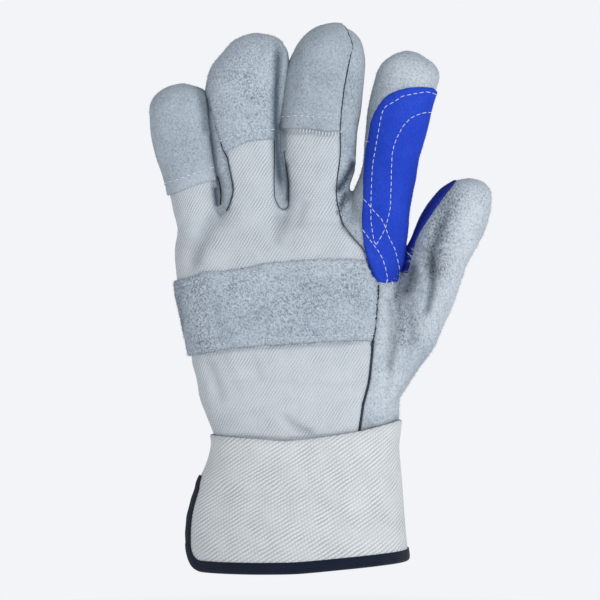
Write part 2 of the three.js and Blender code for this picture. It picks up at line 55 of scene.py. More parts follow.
# %% Cross-sections of the hand
HAND = [
    (60.5, -39.8, 46.6, 43, 0), (68.2, -40.3, 47.0, 43.5, 0), (73.9, -41.8, 48.0, 45, 0),
    (79.7, -44.4, 48.5, 45.3, 0), (86.4, -46.8, 49.0, 45.2, 0), (94.1, -47.9, 49.7, 45, 0),
    (103.7, -50.4, 50.6, 44.5, 0), (113.3, -52.2, 50.5, 43.8, 0), (122.9, -54.0, 50.2, 43, 0),
    (132.5, -56.2, 49.2, 41.7, 0), (143.0, -57.7, 48.2, 40, 0), (150.7, -58.8, 48.5, 38.5, 0),
    (156.5, -58.9, 49.0, 37.3, 0), (161.3, -58.1, 49.0, 35.5, 0), (165.1, -56.2, 49.0, 33, 0),
    (169.4, -53.3, 47.5, 25, 0), (172.3, -47.5, 42.7, 13, 0),
]
print(len(HAND), "sections from the wrist to the knuckles")

# %% [markdown]
# The fingers are tubes too, with the same columns. Worn gloves curl a little to the palm side, which is
# what the last column does near the tips. The last few rows of each close the round fingertip.

# %% Cross-sections of the little and ring fingers
LITTLE = [
    (152.6, -52.8, -40.3, 20, 0), (161.3, -57.1, -37.0, 27.5, 0), (166.6, -57.4, -37.0, 28.6, 0),
    (172.3, -58.8, -37.0, 29, 0), (178.1, -60.0, -37.7, 28.6, 0), (182.4, -61.0, -38.4, 28, 0.2),
    (191.0, -62.9, -39.4, 27.5, 0.6), (198.2, -65.3, -40.3, 27.3, 1.1), (205.4, -67.4, -41.5, 27, 1.6),
    (214.1, -69.0, -42.5, 26.6, 2.3), (222.7, -69.6, -43.2, 26, 3), (226.6, -69.1, -43.7, 25, 3.4),
    (229.4, -67.7, -44.4, 23.2, 3.8), (231.8, -65.3, -45.6, 20, 4), (233.5, -62.4, -48.7, 15.5, 4.3),
    (234.7, -58.3, -52.6, 8, 4.6),
]
RING = [
    (152.6, -33.1, -10.6, 24, -0.5), (162.7, -37.0, -6.7, 31, -0.5), (174.7, -37.0, -6.5, 31, -0.4),
    (188.2, -39.1, -6.5, 30, 0), (197.3, -40.3, -7.4, 29.8, 0.6), (204.5, -41.0, -8.4, 29.5, 1),
    (215.0, -42.5, -8.2, 29, 1.8), (223.7, -43.0, -7.2, 28.7, 2.4), (231.4, -43.0, -6.2, 28.2, 3),
    (238.1, -42.2, -5.3, 27.5, 3.8), (243.4, -40.6, -5.0, 26.4, 4.2), (248.6, -37.0, -5.5, 24.8, 4.6),
    (253.0, -33.4, -6.7, 21.5, 5.1), (256.1, -29.8, -9.4, 17, 5.5), (258.0, -26.4, -12.5, 12, 5.7),
    (259.1, -22.6, -16.3, 6.5, 5.8),
]
print(len(LITTLE) + len(RING), "sections for two fingers")

# %% [markdown]
# The middle finger is the longest. The index finger stands apart from it and leans to the thumb side, so
# its rows move across as they go up.

# %% Cross-sections of the middle and index fingers
MIDDLE = [
    (152.6, -3.4, 24.0, 25, -0.6), (162.7, -7.7, 26.9, 32, -0.6), (175.2, -6.6, 25.4, 32, -0.4),
    (186.2, -6.7, 24.7, 31, 0), (194.9, -7.9, 27.5, 30.7, 0.5), (200.6, -8.6, 28.0, 30.5, 0.7),
    (211.7, -8.4, 28.7, 30.2, 1.5), (222.7, -7.3, 30.2, 29.7, 2.2), (230.9, -6.2, 31.2, 29.3, 2.9),
    (238.1, -5.1, 31.8, 29, 3.4), (245.3, -3.1, 32.2, 28.2, 4), (252.5, 0.0, 31.7, 26.3, 4.6),
    (257.3, 2.9, 30.4, 22.5, 5), (260.6, 6.2, 28.3, 17.5, 5.4), (262.8, 9.8, 25.7, 12, 5.6),
    (264.0, 13.9, 22.6, 7, 5.8),
]
INDEX = [
    (141.1, 28.8, 45.1, 24, 0), (149.8, 25.4, 49.7, 32, 0), (156.5, 24.9, 50.5, 32, 0),
    (162.2, 24.7, 51.0, 32, 0), (171.8, 24.8, 52.0, 31.6, 0), (180.5, 25.2, 53.4, 31, 0),
    (187.2, 27.6, 54.5, 30.6, 0.3), (193.9, 30.2, 55.9, 30, 0.8), (201.6, 31.4, 57.6, 29.8, 1.4),
    (209.3, 32.1, 59.5, 29.5, 2), (217.9, 32.9, 61.9, 29, 2.7), (226.6, 34.1, 63.8, 28.5, 3.3),
    (233.3, 35.4, 66.2, 27.7, 3.9), (238.1, 36.7, 68.1, 26.8, 4.2), (242.4, 38.1, 67.9, 24.6, 4.6),
    (246.2, 40.2, 65.3, 21.5, 4.9), (249.1, 43.2, 61.2, 17, 5.2), (251.0, 46.6, 58.6, 12, 5.4),
    (252.0, 49.4, 55.2, 7, 5.5),
]
print(len(MIDDLE) + len(INDEX), "sections for two fingers")

# %% [markdown]
# The thumb starts low, inside the hand, and bends out. Its sections are level slices like the others, so
# they are wider than the thumb is thick.

# %% Cross-sections of the thumb
THUMB = [
    (80.6, 36.5, 45.1, 26, 1), (88.3, 36.5, 50.6, 34, 1.5), (99.8, 38.4, 58.3, 36, 2),
    (110.9, 41.3, 65.9, 36, 2), (119.0, 42.7, 69.6, 35.5, 2), (126.7, 44.2, 73.0, 35, 2),
    (134.4, 45.6, 75.8, 34.5, 2), (141.6, 47.5, 78.2, 34, 2), (145.9, 49.2, 79.8, 33.5, 2.2),
    (150.7, 50.2, 81.6, 33, 2.3), (156.5, 52.2, 84.9, 32.6, 2.5), (162.2, 55.3, 88.0, 31.8, 2.8),
    (169.0, 58.0, 90.8, 30.7, 3.2), (173.8, 60.1, 92.0, 29.8, 3.4), (177.6, 62.4, 92.6, 28.5, 3.7),
    (181.4, 65.4, 93.0, 26.5, 4), (184.8, 68.6, 92.6, 23.5, 4.2), (187.4, 72.2, 91.2, 19, 4.5),
    (189.4, 75.6, 89.0, 13, 4.7), (190.6, 78.7, 86.2, 7, 4.8),
]
print(len(THUMB), "sections of the thumb")

# %% [markdown]
# A tube turns a table into a surface. A smooth curve runs through the rows, and each section is an oval
# with slightly square corners, the way a padded finger presses a leather tube out. The tube also answers
# two questions that the flat patterns need: how deep its back lies at a place, and what its outline is.

# %% Tubes from tables
SQUARE = 2.35


def smooth_rows(table, steps=7):
    """Catmull-Rom curve through the rows of a table."""
    rows = np.array(table, dtype=float)
    before = 2 * rows[0] - rows[1]
    after = 2 * rows[-1] - rows[-2]
    rows = np.vstack([before, rows, after])
    out = []
    for k in range(1, len(rows) - 2):
        p0, p1, p2, p3 = rows[k - 1:k + 3]
        for s in range(steps):
            u = s / steps
            out.append(0.5 * (2 * p1 + (p2 - p0) * u + (2 * p0 - 5 * p1 + 4 * p2 - p3) * u * u
                              + (3 * p1 - p0 - 3 * p2 + p3) * u ** 3))
    out.append(rows[-2])
    return np.array(out)


class Tube:
    """A finger or the hand as a lofted tube, in metres."""

    def __init__(self, table):
        rows = smooth_rows(table)
        self.up = np.maximum.accumulate(rows[:, 0]) * MM
        self.centre = (rows[:, 1] + rows[:, 2]) / 2 * MM
        self.half_width = (rows[:, 2] - rows[:, 1]) / 2 * MM
        self.half_depth = rows[:, 3] / 2 * MM
        self.lean = rows[:, 4] * MM

    def section(self, z):
        """Centre, half width, half depth and lean at a height."""
        columns = (self.centre, self.half_width, self.half_depth, self.lean)
        return tuple(np.interp(z, self.up, column) for column in columns)

    def back(self, x, z):
        """Y of the tube's back at (x, z), or nan where the tube isn't."""
        centre, half_width, half_depth, lean = self.section(z)
        q = np.abs((x - centre) / half_width)
        within = (q < 1) & (z > self.up[0]) & (z < self.up[-1])
        depth = half_depth * np.maximum(1 - q ** SQUARE, 0) ** (1 / SQUARE)
        return np.where(within, lean - depth, np.nan)

    def outline(self, share=0.9995):
        """The tube's outline seen from the back, as points going up the left side and down the right."""
        left = np.stack([self.centre - self.half_width * share, self.up], 1)
        right = np.stack([self.centre + self.half_width * share, self.up], 1)
        tip = np.array([[self.centre[-1], self.up[-1] + 0.0008]])
        return np.vstack([left, tip, right[::-1]])

    def shell(self, around=56):
        """Vertices and faces of the closed tube."""
        angle = (np.arange(around) + 0.5) / around * 2 * np.pi
        co, si = np.cos(angle), np.sin(angle)
        oval_x = np.sign(co) * np.abs(co) ** (2 / SQUARE)
        oval_y = np.sign(si) * np.abs(si) ** (2 / SQUARE)
        x = self.centre[:, None] + self.half_width[:, None] * oval_x
        y = self.lean[:, None] + self.half_depth[:, None] * oval_y
        z = np.repeat(self.up[:, None], around, 1)
        bottom = [self.centre[0], self.lean[0], self.up[0]]
        tip = [self.centre[-1], self.lean[-1], self.up[-1] + 0.001]
        verts = np.vstack([np.stack([x, y, z], 2).reshape(-1, 3), [bottom, tip]])
        levels = len(self.up)
        middle_of_bottom = levels * around
        faces = []
        for k in range(levels - 1):
            for i in range(around):
                j = (i + 1) % around
                faces.append((k * around + i, k * around + j, (k + 1) * around + j, (k + 1) * around + i))
        for i in range(around):
            j = (i + 1) % around
            faces.append((middle_of_bottom, j, i))
            faces.append((middle_of_bottom + 1, (levels - 1) * around + i, (levels - 1) * around + j))
        return verts, faces


hand = Tube(HAND)
little = Tube(LITTLE)
ring = Tube(RING)
middle = Tube(MIDDLE)
index = Tube(INDEX)
thumb = Tube(THUMB)
print("tubes ready, middle fingertip at", round(middle.up[-1] * 1000, 1), "mm")

# %% [markdown]
# A few small tools for meshes: make an object from points and faces, keep what its modifiers made, and
# read its points and normals as arrays. Each fabric piece also needs a flat map of itself, so that its
# weave follows the cut of the cloth and not the camera.

# %% Mesh tools
def new_object(name, verts, faces):
    mesh = bpy.data.meshes.new(name)
    mesh.from_pydata([tuple(v) for v in verts], [], [tuple(int(i) for i in face) for face in faces])
    mesh.update()
    piece = bpy.data.objects.new(name, mesh)
    bpy.context.scene.collection.objects.link(piece)
    return piece


def smooth_object(name, verts, faces):
    """The same, shaded smooth."""
    piece = new_object(name, verts, faces)
    piece.data.polygons.foreach_set("use_smooth", np.ones(len(piece.data.polygons), dtype=bool))
    return piece


def apply_modifiers(piece):
    evaluated = piece.evaluated_get(bpy.context.evaluated_depsgraph_get())
    mesh = bpy.data.meshes.new_from_object(evaluated)
    piece.modifiers.clear()
    piece.data = mesh


def mesh_points(mesh):
    values = np.empty(len(mesh.vertices) * 3)
    mesh.vertices.foreach_get("co", values)
    return values.reshape(-1, 3)


def mesh_normals(mesh):
    values = np.empty(len(mesh.vertices) * 3)
    mesh.vertex_normals.foreach_get("vector", values)
    return values.reshape(-1, 3)


def map_cloth(piece, flat):
    """Stores each point's place on the flat cloth, in metres, as the map that the weave is drawn on."""
    layer = piece.data.uv_layers.new(name="cloth")
    corners = np.empty(len(piece.data.loops), dtype=int)
    piece.data.loops.foreach_get("vertex_index", corners)
    layer.data.foreach_set("uv", flat[corners].ravel())


print("mesh tools ready")

# %% [markdown]
# The hand inside a glove is one rounded body, so the tubes are melted together: all six go into one mesh
# and a voxel remesh makes a single skin of them. A boolean union would leave sharp creases where they
# meet. A few rounds of smoothing take out the steps of the voxels.

# %% The worn form
VOXEL = 0.0010
bpy.context.scene.frame_set(1)
verts = []
faces = []
base = 0
for tube in (hand, little, ring, middle, index, thumb):
    tube_verts, tube_faces = tube.shell()
    verts.append(tube_verts)
    faces += [tuple(base + i for i in face) for face in tube_faces]
    base += len(tube_verts)
form = new_object("form", np.vstack(verts), faces)
melt = form.modifiers.new("melt", 'REMESH')
melt.mode = 'VOXEL'
melt.voxel_size = VOXEL
melt.adaptivity = 0
soften = form.modifiers.new("soften", 'SMOOTH')
soften.factor = 0.5
soften.iterations = 6
apply_modifiers(form)
print("form has", len(form.data.vertices), "points")

# %% [markdown]
# Where the fingers run into the hand the tubes leave a ridge that no glove has. Stronger smoothing levels
# it, held back by a vertex group to the front and back of a band round the knuckles, so the fingers stay
# apart.

# %% Level the knuckles
KNUCKLES_AT = 0.167
KNUCKLE_BAND = 0.022
points = mesh_points(form.data)
facing = np.abs(mesh_normals(form.data)[:, 1])
rise = np.clip(1 - np.abs(points[:, 2] - KNUCKLES_AT) / KNUCKLE_BAND, 0, 1)
rise = rise * np.clip((facing - 0.35) * 3, 0, 1)
knuckles = form.vertex_groups.new(name="knuckles")
for i in np.nonzero(rise > 0.02)[0]:
    knuckles.add([int(i)], float(min(1.0, rise[i] * 1.6)), 'REPLACE')
level = form.modifiers.new("level the knuckles", 'SMOOTH')
level.factor = 0.5
level.iterations = 90
level.vertex_group = "knuckles"
apply_modifiers(form)
print(int((rise > 0.02).sum()), "points levelled")

# %% [markdown]
# Wear shows in the shape first. Each fold is a line on the back of the glove with a width and a depth: a
# valley pulls the skin in and a ridge pushes it out. Folds could be simulated, but these are worn in by
# one hand, and lines put them where that hand made them.

# %% Folds on the back
# Each row: depth in mm (valleys below zero), width in mm, points across and up in mm.
FOLDS = [
    (-2.3, 3.0, [(-36.5, 176.6), (-40.8, 169.9), (-44.2, 164.2), (-47.5, 157.4), (-49.9, 150.7),
     (-51.8, 144.0)]),
    (1.0, 3.2, [(-51.8, 107.5), (-45.6, 97.9), (-41.3, 84.5), (-38.4, 69.1)]),
    (-0.9, 2.2, [(-45.1, 107.5), (-39.4, 96.0), (-35.5, 82.6)]),
    (0.7, 2.6, [(-33.6, 109.4), (-27.8, 97.9), (-25.9, 88.3)]),
    (-0.6, 2.0, [(-23.0, 110.4), (-20.2, 102.7), (-17.3, 92.2)]),
    (0.6, 2.6, [(-1.0, 169.0), (1.0, 161.3), (-1.0, 152.6)]),
    (-0.9, 2.4, [(3.8, 180.5), (1.9, 174.7), (-1.0, 167.0)]),
    (0.9, 4.0, [(-31.7, 169.0), (-35.5, 161.3), (-39.4, 153.6), (-42.2, 146.9)]),
    (-1.3, 2.6, [(-7.2, 176.2), (-9.1, 167.0), (-11.0, 157.4)]),
    (-0.5, 1.2, [(0.0, 168.0), (10.6, 169.2), (22.1, 169.0)]),
    (-1.1, 1.0, [(26.9, 196.3), (22.6, 190.1), (18.2, 183.8)]),
    (-1.2, 1.0, [(25.4, 183.8), (22.6, 179.5), (20.2, 174.7)]),
    (-0.4, 1.1, [(-32.6, 93.6), (-17.3, 95.0), (1.0, 93.6), (17.8, 92.2), (32.6, 94.6)]),
    (-1.5, 2.0, [(-8.6, 79.7), (-3.8, 74.4), (1.0, 71.0), (8.6, 68.6)]),
    (0.8, 2.6, [(-1.0, 78.7), (4.8, 74.4), (13.4, 71.5)]),
    (-2.6, 2.6, [(71.5, 179.0), (69.1, 172.8), (66.2, 165.6), (63.8, 158.9), (63.1, 152.6),
     (63.4, 146.9), (63.4, 141.1), (62.9, 134.9), (61.0, 128.6), (58.6, 122.9)]),
    (2.0, 3.4, [(59.0, 157.9), (58.6, 150.7), (59.0, 144.0), (58.1, 136.3)]),
    (-1.2, 0.9, [(20.2, 175.2), (21.1, 167.0), (25.9, 161.5), (30.2, 157.2), (32.6, 151.2),
     (36.5, 142.1), (37.9, 137.3), (37.0, 129.1), (35.5, 113.8), (34.8, 105.1), (33.6, 93.6),
     (30.7, 83.0), (29.0, 71.0)]),
    (-1.1, 1.2, [(-42.7, 67.9), (-36.0, 66.7), (-21.6, 66.7), (-6.7, 65.8), (5.3, 66.7), (17.3, 67.9),
     (29.3, 70.1), (41.3, 72.5), (49.4, 74.9)]),
    (-0.6, 2.0, [(50.9, 132.5), (52.8, 118.1), (50.9, 103.7), (48.0, 91.7)]),
    (0.6, 4.0, [(-23.0, 132.5), (1.0, 136.3), (22.6, 134.4)]),
    (-0.5, 2.2, [(-41.3, 132.5), (-36.5, 118.1), (-37.4, 110.9)]),
]
print(len(FOLDS), "folds on the back")

# %% [markdown]
# The palm side creases where the hand closes: across the palm, round the thumb's base and at the finger
# joints.

# %% Creases of the palm
PALM_FOLDS = [
    (-1.2, 2.2, [(-34.6, 150.7), (-17.3, 153.6), (1.0, 156.5), (18.2, 161.3), (25.9, 167.0)]),
    (-1.1, 2.2, [(-29.8, 132.5), (-10.6, 137.3), (8.6, 141.1), (27.8, 144.0), (42.2, 145.9)]),
    (-1.4, 2.6, [(45.1, 144.0), (30.7, 136.3), (20.2, 123.8), (15.4, 107.5), (16.3, 88.3)]),
    (1.0, 6.0, [(47.0, 123.8), (37.4, 107.5), (32.6, 88.3)]),
    (0.8, 7.0, [(-40.3, 132.5), (-39.4, 110.9), (-35.5, 89.3)]),
    (-0.8, 1.8, [(-63.4, 204.5), (-53.8, 203.0), (-43.2, 204.5)]),
    (-0.8, 1.8, [(-39.4, 211.7), (-25.0, 209.8), (-8.6, 211.7)]),
    (-0.8, 1.8, [(-5.8, 214.1), (10.6, 212.2), (28.8, 214.1)]),
    (-0.8, 1.8, [(31.7, 196.8), (43.2, 194.9), (55.7, 196.8)]),
    (-0.9, 1.8, [(60.5, 158.4), (70.1, 155.5), (82.6, 153.6)]),
    (-0.7, 1.6, [(-58.6, 178.1), (-49.0, 176.6), (-38.4, 178.1)]),
    (-0.7, 1.6, [(-35.5, 181.4), (-22.1, 179.5), (-7.7, 181.4)]),
    (-0.7, 1.6, [(-4.8, 182.4), (8.6, 180.5), (23.0, 182.4)]),
    (-0.7, 1.6, [(26.9, 169.9), (38.4, 168.0), (49.9, 169.9)]),
]
print(len(PALM_FOLDS), "creases on the palm side")

# %% [markdown]
# Folds, dark seams and worn patches are all lines with a soft edge. These helpers tell how far each point
# is from a line, ease a line out at its ends, and make the slow, seeded noise of soft leather.

# %% Measuring from a line
def line_distance(points, line, with_place=False):
    """Distance in metres from each (x, z) point to a line of points in mm, and how far along it (0 to 1)."""
    line = np.array(line) * MM
    nearest = np.full(len(points), 1e9)
    place = np.zeros(len(points))
    steps = np.hypot(*np.diff(line, axis=0).T)
    run = np.r_[0, np.cumsum(steps)] / steps.sum()
    for k, (p, q) in enumerate(zip(line[:-1], line[1:])):
        d = q - p
        t = np.clip(((points - p) @ d) / (d @ d), 0, 1)
        away = np.hypot(*(points - p - t[:, None] * d).T)
        nearer = away < nearest
        nearest[nearer] = away[nearer]
        place[nearer] = (run[k] + t * (run[k + 1] - run[k]))[nearer]
    return (nearest, place) if with_place else nearest


def fade_out(place, share=0.22):
    """1 along a line, easing to 0 at both of its ends."""
    t = np.clip(np.minimum(place, 1 - place) / share, 0, 1)
    return t * t * (3 - 2 * t)


def soft_edge(away, width):
    """1 on a line, falling off smoothly over a width in mm."""
    return np.exp(-(away / (width * MM)) ** 2)


def soft_noise(points, scale, seed=0.0):
    """Slow Perlin noise, one value per point; scale is the size of its bumps in metres."""
    return np.array([mnoise.noise(Vector((p[0] / scale + seed, p[1] / scale, p[2] / scale)))
                     for p in points])


print("a point 3 mm off a line 3 mm wide gets", round(float(soft_edge(0.003, 3)), 2))

# %% [markdown]
# Pressing the folds in moves each point along its own normal. Folds of the back only reach the points
# that face back, and creases of the palm only those that face the palm. Narrow folds run right to their
# ends, wide ones fade out. The result is kept as a search tree, because every sheet is laid on it later.

# %% Press the folds in
NARROW = 1.5


def fold_strength(points, width, line):
    """How strongly a fold of the back acts on each (x, z) point, 0 to 1, and how much its ends ease that."""
    away, place = line_distance(points, line, with_place=True)
    ends = fade_out(place) if width > NARROW else 1.0
    return soft_edge(away, width), ends


form_points = mesh_points(form.data)
normals = mesh_normals(form.data)
flat_points = form_points[:, [0, 2]]
faces_back = np.clip((-normals[:, 1] + 0.25) / 0.5, 0, 1)
faces_palm = np.clip((normals[:, 1] - 0.1) / 0.5, 0, 1)
move = np.zeros(len(form_points))
for depth, width, line in FOLDS:
    strength, ends = fold_strength(flat_points, width, line)
    move += depth * MM * strength * faces_back * ends
for depth, width, line in PALM_FOLDS:
    away, place = line_distance(flat_points, line, with_place=True)
    move += depth * MM * soft_edge(away, width) * faces_palm * fade_out(place)
move += 0.0005 * soft_noise(form_points, 0.016) + 0.00022 * soft_noise(form_points, 0.006, 5.0)
form_points = form_points + normals * move[:, None]
form.data.vertices.foreach_set("co", form_points.ravel())
form.data.update()
form_normals = mesh_normals(form.data)
form_faces = [tuple(face.vertices) for face in form.data.polygons]
form_tree = BVHTree.FromPolygons([tuple(p) for p in form_points], form_faces)
print("deepest fold", round(float(-move.min()) * 1000, 1), "mm")

# %% [markdown]
# Some places are painted darker without being any deeper. This is painted shade: in the crook of two fingers
# and the gaps between them, along the thumb's fold, beside a seam where two layers meet, and below the
# raised edges of the cuff, the strap and the middle cap. Each row is a soft dark line. The materials read it
# as a value stored on the mesh.

# %% Dark lines of painted shade
# Each row: how much darker, width in mm, points across and up in mm.
SHADES = [
    (0.16, 5.2, [(72.0, 181.0), (69.6, 174.2), (66.7, 166.6), (64.8, 158.4), (65.3, 150.7)]),
    (0.62, 1.9, [(64.3, 159.8), (63.6, 153.6), (63.8, 145.9), (63.4, 137.3), (61.9, 128.6),
     (59.0, 122.9)]),
    (0.92, 2.0, [(-10.1, 258.2), (-9.6, 247.7), (-10.3, 233.3), (-10.6, 218.9), (-10.1, 204.5),
     (-9.1, 192.5), (-7.2, 180.5)]),
    (0.9, 1.0, [(-5.8, 199.7), (-4.8, 190.1), (-4.8, 182.4), (-5.3, 177.6)]),
    (0.95, 1.3, [(-39.6, 187.2), (-39.1, 181.9), (-38.4, 176.2)]),
    (0.6, 1.4, [(-45.1, 234.2), (-43.2, 229.0), (-42.2, 216.5), (-40.8, 207.4), (-40.1, 201.1),
     (-38.9, 194.4), (-37.4, 188.6), (-36.5, 182.4), (-37.4, 174.7)]),
    (0.5, 2.0, [(-49.0, 238.1), (-46.6, 232.3), (-45.1, 225.6), (-44.2, 217.0), (-43.2, 209.3)]),
    (1.0, 1.9, [(27.1, 200.6), (25.2, 194.9), (22.6, 190.1), (19.7, 185.8), (18.5, 182.4)]),
    (0.85, 1.3, [(23.3, 184.3), (21.4, 180.0), (19.9, 175.7)]),
    (0.75, 1.5, [(30.2, 220.8), (29.5, 214.1), (28.8, 206.9), (27.4, 199.7)]),
    (0.35, 2.2, [(43.2, 136.3), (44.6, 125.3), (44.6, 110.9), (42.7, 96.5)]),
    (0.25, 2.4, [(52.8, 132.5), (54.7, 120.5), (53.8, 108.5)]),
    (0.22, 2.5, [(-41.3, 168.0), (-44.2, 162.2), (-47.0, 155.5), (-49.0, 147.8)]),
    (0.16, 2.0, [(-7.2, 172.8), (-5.8, 168.0), (-6.7, 162.2)]),
    (0.16, 2.4, [(1.0, 254.9), (0.0, 240.5), (1.0, 228.5)]),
    # Painted shadow below raised edges: the cuff's top, the strap's lower edge and the middle cap's lower
    # edge (this row and the next two).
    (0.25, 0.8, [(-41.8, 68.9), (-36.0, 68.2), (-21.6, 68.2), (-6.7, 66.9), (5.3, 68.2), (17.3, 69.1),
     (29.3, 71.3)]),
    (0.35, 1.0, [(-49.0, 105.1), (-42.2, 106.8), (-29.8, 109.0), (-15.4, 109.9), (1.4, 110.9),
     (17.3, 111.8), (35.0, 112.6)]),
    (0.34, 1.1, [(-7.7, 212.4), (-0.5, 212.0), (6.2, 211.7), (12.5, 210.7), (19.2, 211.2)]),
    (0.6, 2.2, [(55.2, 150.7), (54.2, 145.0), (52.8, 139.2), (50.9, 134.4)]),
]
print(len(SHADES), "dark lines")

# %% [markdown]
# Use also changes the nap. Handling wears it pale on the thumb, the fingertip and the side of the palm, and
# rubbing up makes its fibres stand, so that it looks coarse and speckled. The pale rows also hold painted
# light: the thumb's lit side and the lower canvas are made paler where light falls on them.

# %% Worn places, painted light and ruffled places
# Each row: how much, width in mm, points across and up in mm.
WORN_AND_LIT = [
    # Painted light with wear: the thumb's lit side is made paler (this row and the next).
    (0.95, 12.0, [(84.5, 185.3), (84.5, 173.3)]),
    (0.78, 14.0, [(81.6, 173.3), (77.8, 156.5), (72.0, 137.3), (67.2, 120.5)]),
    (0.85, 10.0, [(45.1, 132.5), (45.1, 113.3), (42.2, 84.5)]),
    (0.8, 10.0, [(50.9, 242.9), (60.5, 236.2), (66.2, 230.4)]),
    # Painted light: the lower canvas is made paler where light falls on it.
    (0.45, 20.0, [(-30.2, 91.7), (20.2, 88.3)]),
]
RUFFLED = [
    (1.0, 5.4, [(73.0, 181.9), (70.1, 174.7), (67.2, 167.0), (65.3, 158.4), (66.7, 149.8)]),
    (0.8, 3.0, [(25.9, 195.8), (22.1, 184.3), (19.2, 174.7)]),
    (0.75, 5.0, [(-49.0, 138.2), (-47.5, 123.8), (-44.6, 111.4)]),
    (0.8, 2.4, [(47.5, 134.4), (49.9, 123.8), (49.0, 110.9)]),
    (0.35, 9.0, [(-32.6, 137.3), (-3.8, 132.5), (25.0, 139.7)]),
    (0.4, 6.0, [(-27.8, 238.1), (-17.3, 228.5)]),
]
print(len(WORN_AND_LIT), "worn and", len(RUFFLED), "ruffled places")

# %% [markdown]
# Each finished piece gets the three values on its own points: painted shade, worn (paler, partly painted
# light) and ruffled. A painted picture would need a map for every piece. Values on the points need none, and
# they fit wherever a piece ends.

# %% Wear marks and painted light
def shade_at(points):
    """How much painted shade each point on the back gets: 0 in the open, towards 1 in a fold, in the crook
    of two fingers or along a seam.
    """
    across = points[:, [0, 2]]
    dark = np.zeros(len(points))
    # Fold valleys are given painted shade as well as their real depth.
    for depth, width, line in FOLDS:
        if depth < 0:
            strength, ends = fold_strength(across, width, line)
            dark = np.maximum(dark, min(0.4, -depth * 0.12) * strength * ends)
    for amount, width, line in SHADES:
        away, place = line_distance(across, line, with_place=True)
        dark = np.maximum(dark, amount * soft_edge(away, width) * fade_out(place, 0.15))
    return dark * (points[:, 1] < 0.004)


def patches_at(points, table):
    """How much of a table's effect reaches each point, 0 to 1."""
    across = points[:, [0, 2]]
    amount = np.zeros(len(points))
    for most, width, line in table:
        amount = np.maximum(amount, most * soft_edge(line_distance(across, line), width))
    return amount


def mark_wear_and_painted_light(piece):
    """Stores painted shade, worn (wear and painted light) and ruffled on each point of a mesh, where the
    materials can read them.
    """
    points = mesh_points(piece.data)
    back_side = np.clip((0.008 - points[:, 1]) / 0.006, 0, 1)
    point_marks = {
        "shade": shade_at(points),
        "worn": patches_at(points, WORN_AND_LIT),
        "ruffled": patches_at(points, RUFFLED) * back_side,
    }
    for name, values in point_marks.items():
        layer = piece.data.attributes.new(name, 'FLOAT', 'POINT')
        layer.data.foreach_set("value", values)


print("darkest mark on the form", round(float(shade_at(form_points).max()), 2))

# %% [markdown]
# Leather and cloth are cut flat and laid over the form. A point keeps its place in the flat pattern where
# the form faces us, and slides to the nearest place round the sides, as a real sheet does when it is
# pulled tight.

# %% Laying points on the form
def on_form(points):
    """The place on the worn form for each point, and the form's smooth normal there."""
    place = np.empty((len(points), 3))
    normal = np.empty((len(points), 3))
    for k, p in enumerate(points):
        spot, facing, face, _ = form_tree.ray_cast(Vector((p[0], -0.09, p[2])), Vector((0, 1, 0)))
        if spot is None or facing.y > -0.45 or abs(spot.y - p[1]) > 0.006:
            spot, _, face, _ = form_tree.find_nearest(Vector(p))
        place[k] = spot
        corners = form_faces[face]
        nearness = np.array([1 / (1e-7 + np.linalg.norm(form_points[c] - place[k])) for c in corners])
        blend = (form_normals[list(corners)] * nearness[:, None]).sum(0)
        normal[k] = blend / np.linalg.norm(blend)
    return place, normal


def back_height(tubes, x, z):
    """Y of the back of several tubes, the one nearest us."""
    heights = np.stack([tube.back(x, z) for tube in tubes])
    return np.nanmin(np.where(np.isnan(heights), 0.004, heights), axis=0)


def on_back(tubes, line):
    """The same for flat (x, z) points on the back of some tubes."""
    y = back_height(tubes, line[:, 0], line[:, 1])
    return on_form(np.c_[line[:, 0], y, line[:, 1]])


print("the back of the hand is at y =", round(float(hand.back(np.array([0.0]), np.array([0.12]))[0]), 4))

# %% [markdown]
# Cutting is done in the flat, so it needs the tools of flat drawing: which points are inside an outline,
# and an outline with its points close enough together to bend.

# %% Flat drawing tools
def inside(points, polygon):
    """True for the points inside a polygon, by counting the edges to the right of each."""
    x, z = points[:, 0], points[:, 1]
    hit = np.zeros(len(points), bool)
    for (x0, z0), (x1, z1) in zip(polygon, np.roll(polygon, -1, axis=0)):
        if z0 != z1:
            hit ^= ((z0 > z) != (z1 > z)) & (x < (x1 - x0) * (z - z0) / (z1 - z0) + x0)
    return hit


def inside_any(points, tubes):
    within = np.zeros(len(points), bool)
    for tube in tubes:
        within |= inside(points, tube.outline())
    return within


def finely(line, step, closed=True):
    """The same line with points no further apart than step."""
    line = np.array(line, dtype=float)
    ends = np.roll(line, -1, axis=0) if closed else line[1:]
    out = []
    for p, q in zip(line, ends):
        pieces = max(1, int(np.ceil(np.linalg.norm(q - p) / step)))
        out += [p + (q - p) * k / pieces for k in range(pieces)]
    if not closed:
        out.append(line[-1])
    return np.array(out)


def edge_distance(points, outline):
    """How far each point is from a closed outline, in metres."""
    return line_distance(points, np.vstack([outline, outline[:1]]) / MM)


print("the little finger's outline has", len(finely(little.outline(), 0.0008)), "points")

# %% [markdown]
# Two things about the hand's own shape guide the cutting. Its rims, where it turns away from us, need
# mesh edges of their own, or the sheet would step along them. And the cloth runs on round its sides, so
# distances there are longer than they look, which keeps the weave from stretching.

# %% Rims and cloth widths
def rim_of(tubes, step=0.0008):
    """The outline of several tubes together, as points and the edges that join them."""
    points = []
    edges = []
    for tube in tubes:
        line = finely(tube.outline(), step)
        halfway = (line + np.roll(line, -1, axis=0)) / 2
        free = np.ones(len(line), bool)
        for other in tubes:
            if other is not tube:
                free &= ~inside(halfway, other.outline(0.995))
        first = len(points)
        points += [tuple(p) for p in line]
        edges += [(first + i, first + (i + 1) % len(line)) for i in np.nonzero(free)[0]]
    used = sorted({i for edge in edges for i in edge})
    new_place = {i: n for n, i in enumerate(used)}
    return np.array([points[i] for i in used]), [(new_place[a], new_place[b]) for a, b in edges]


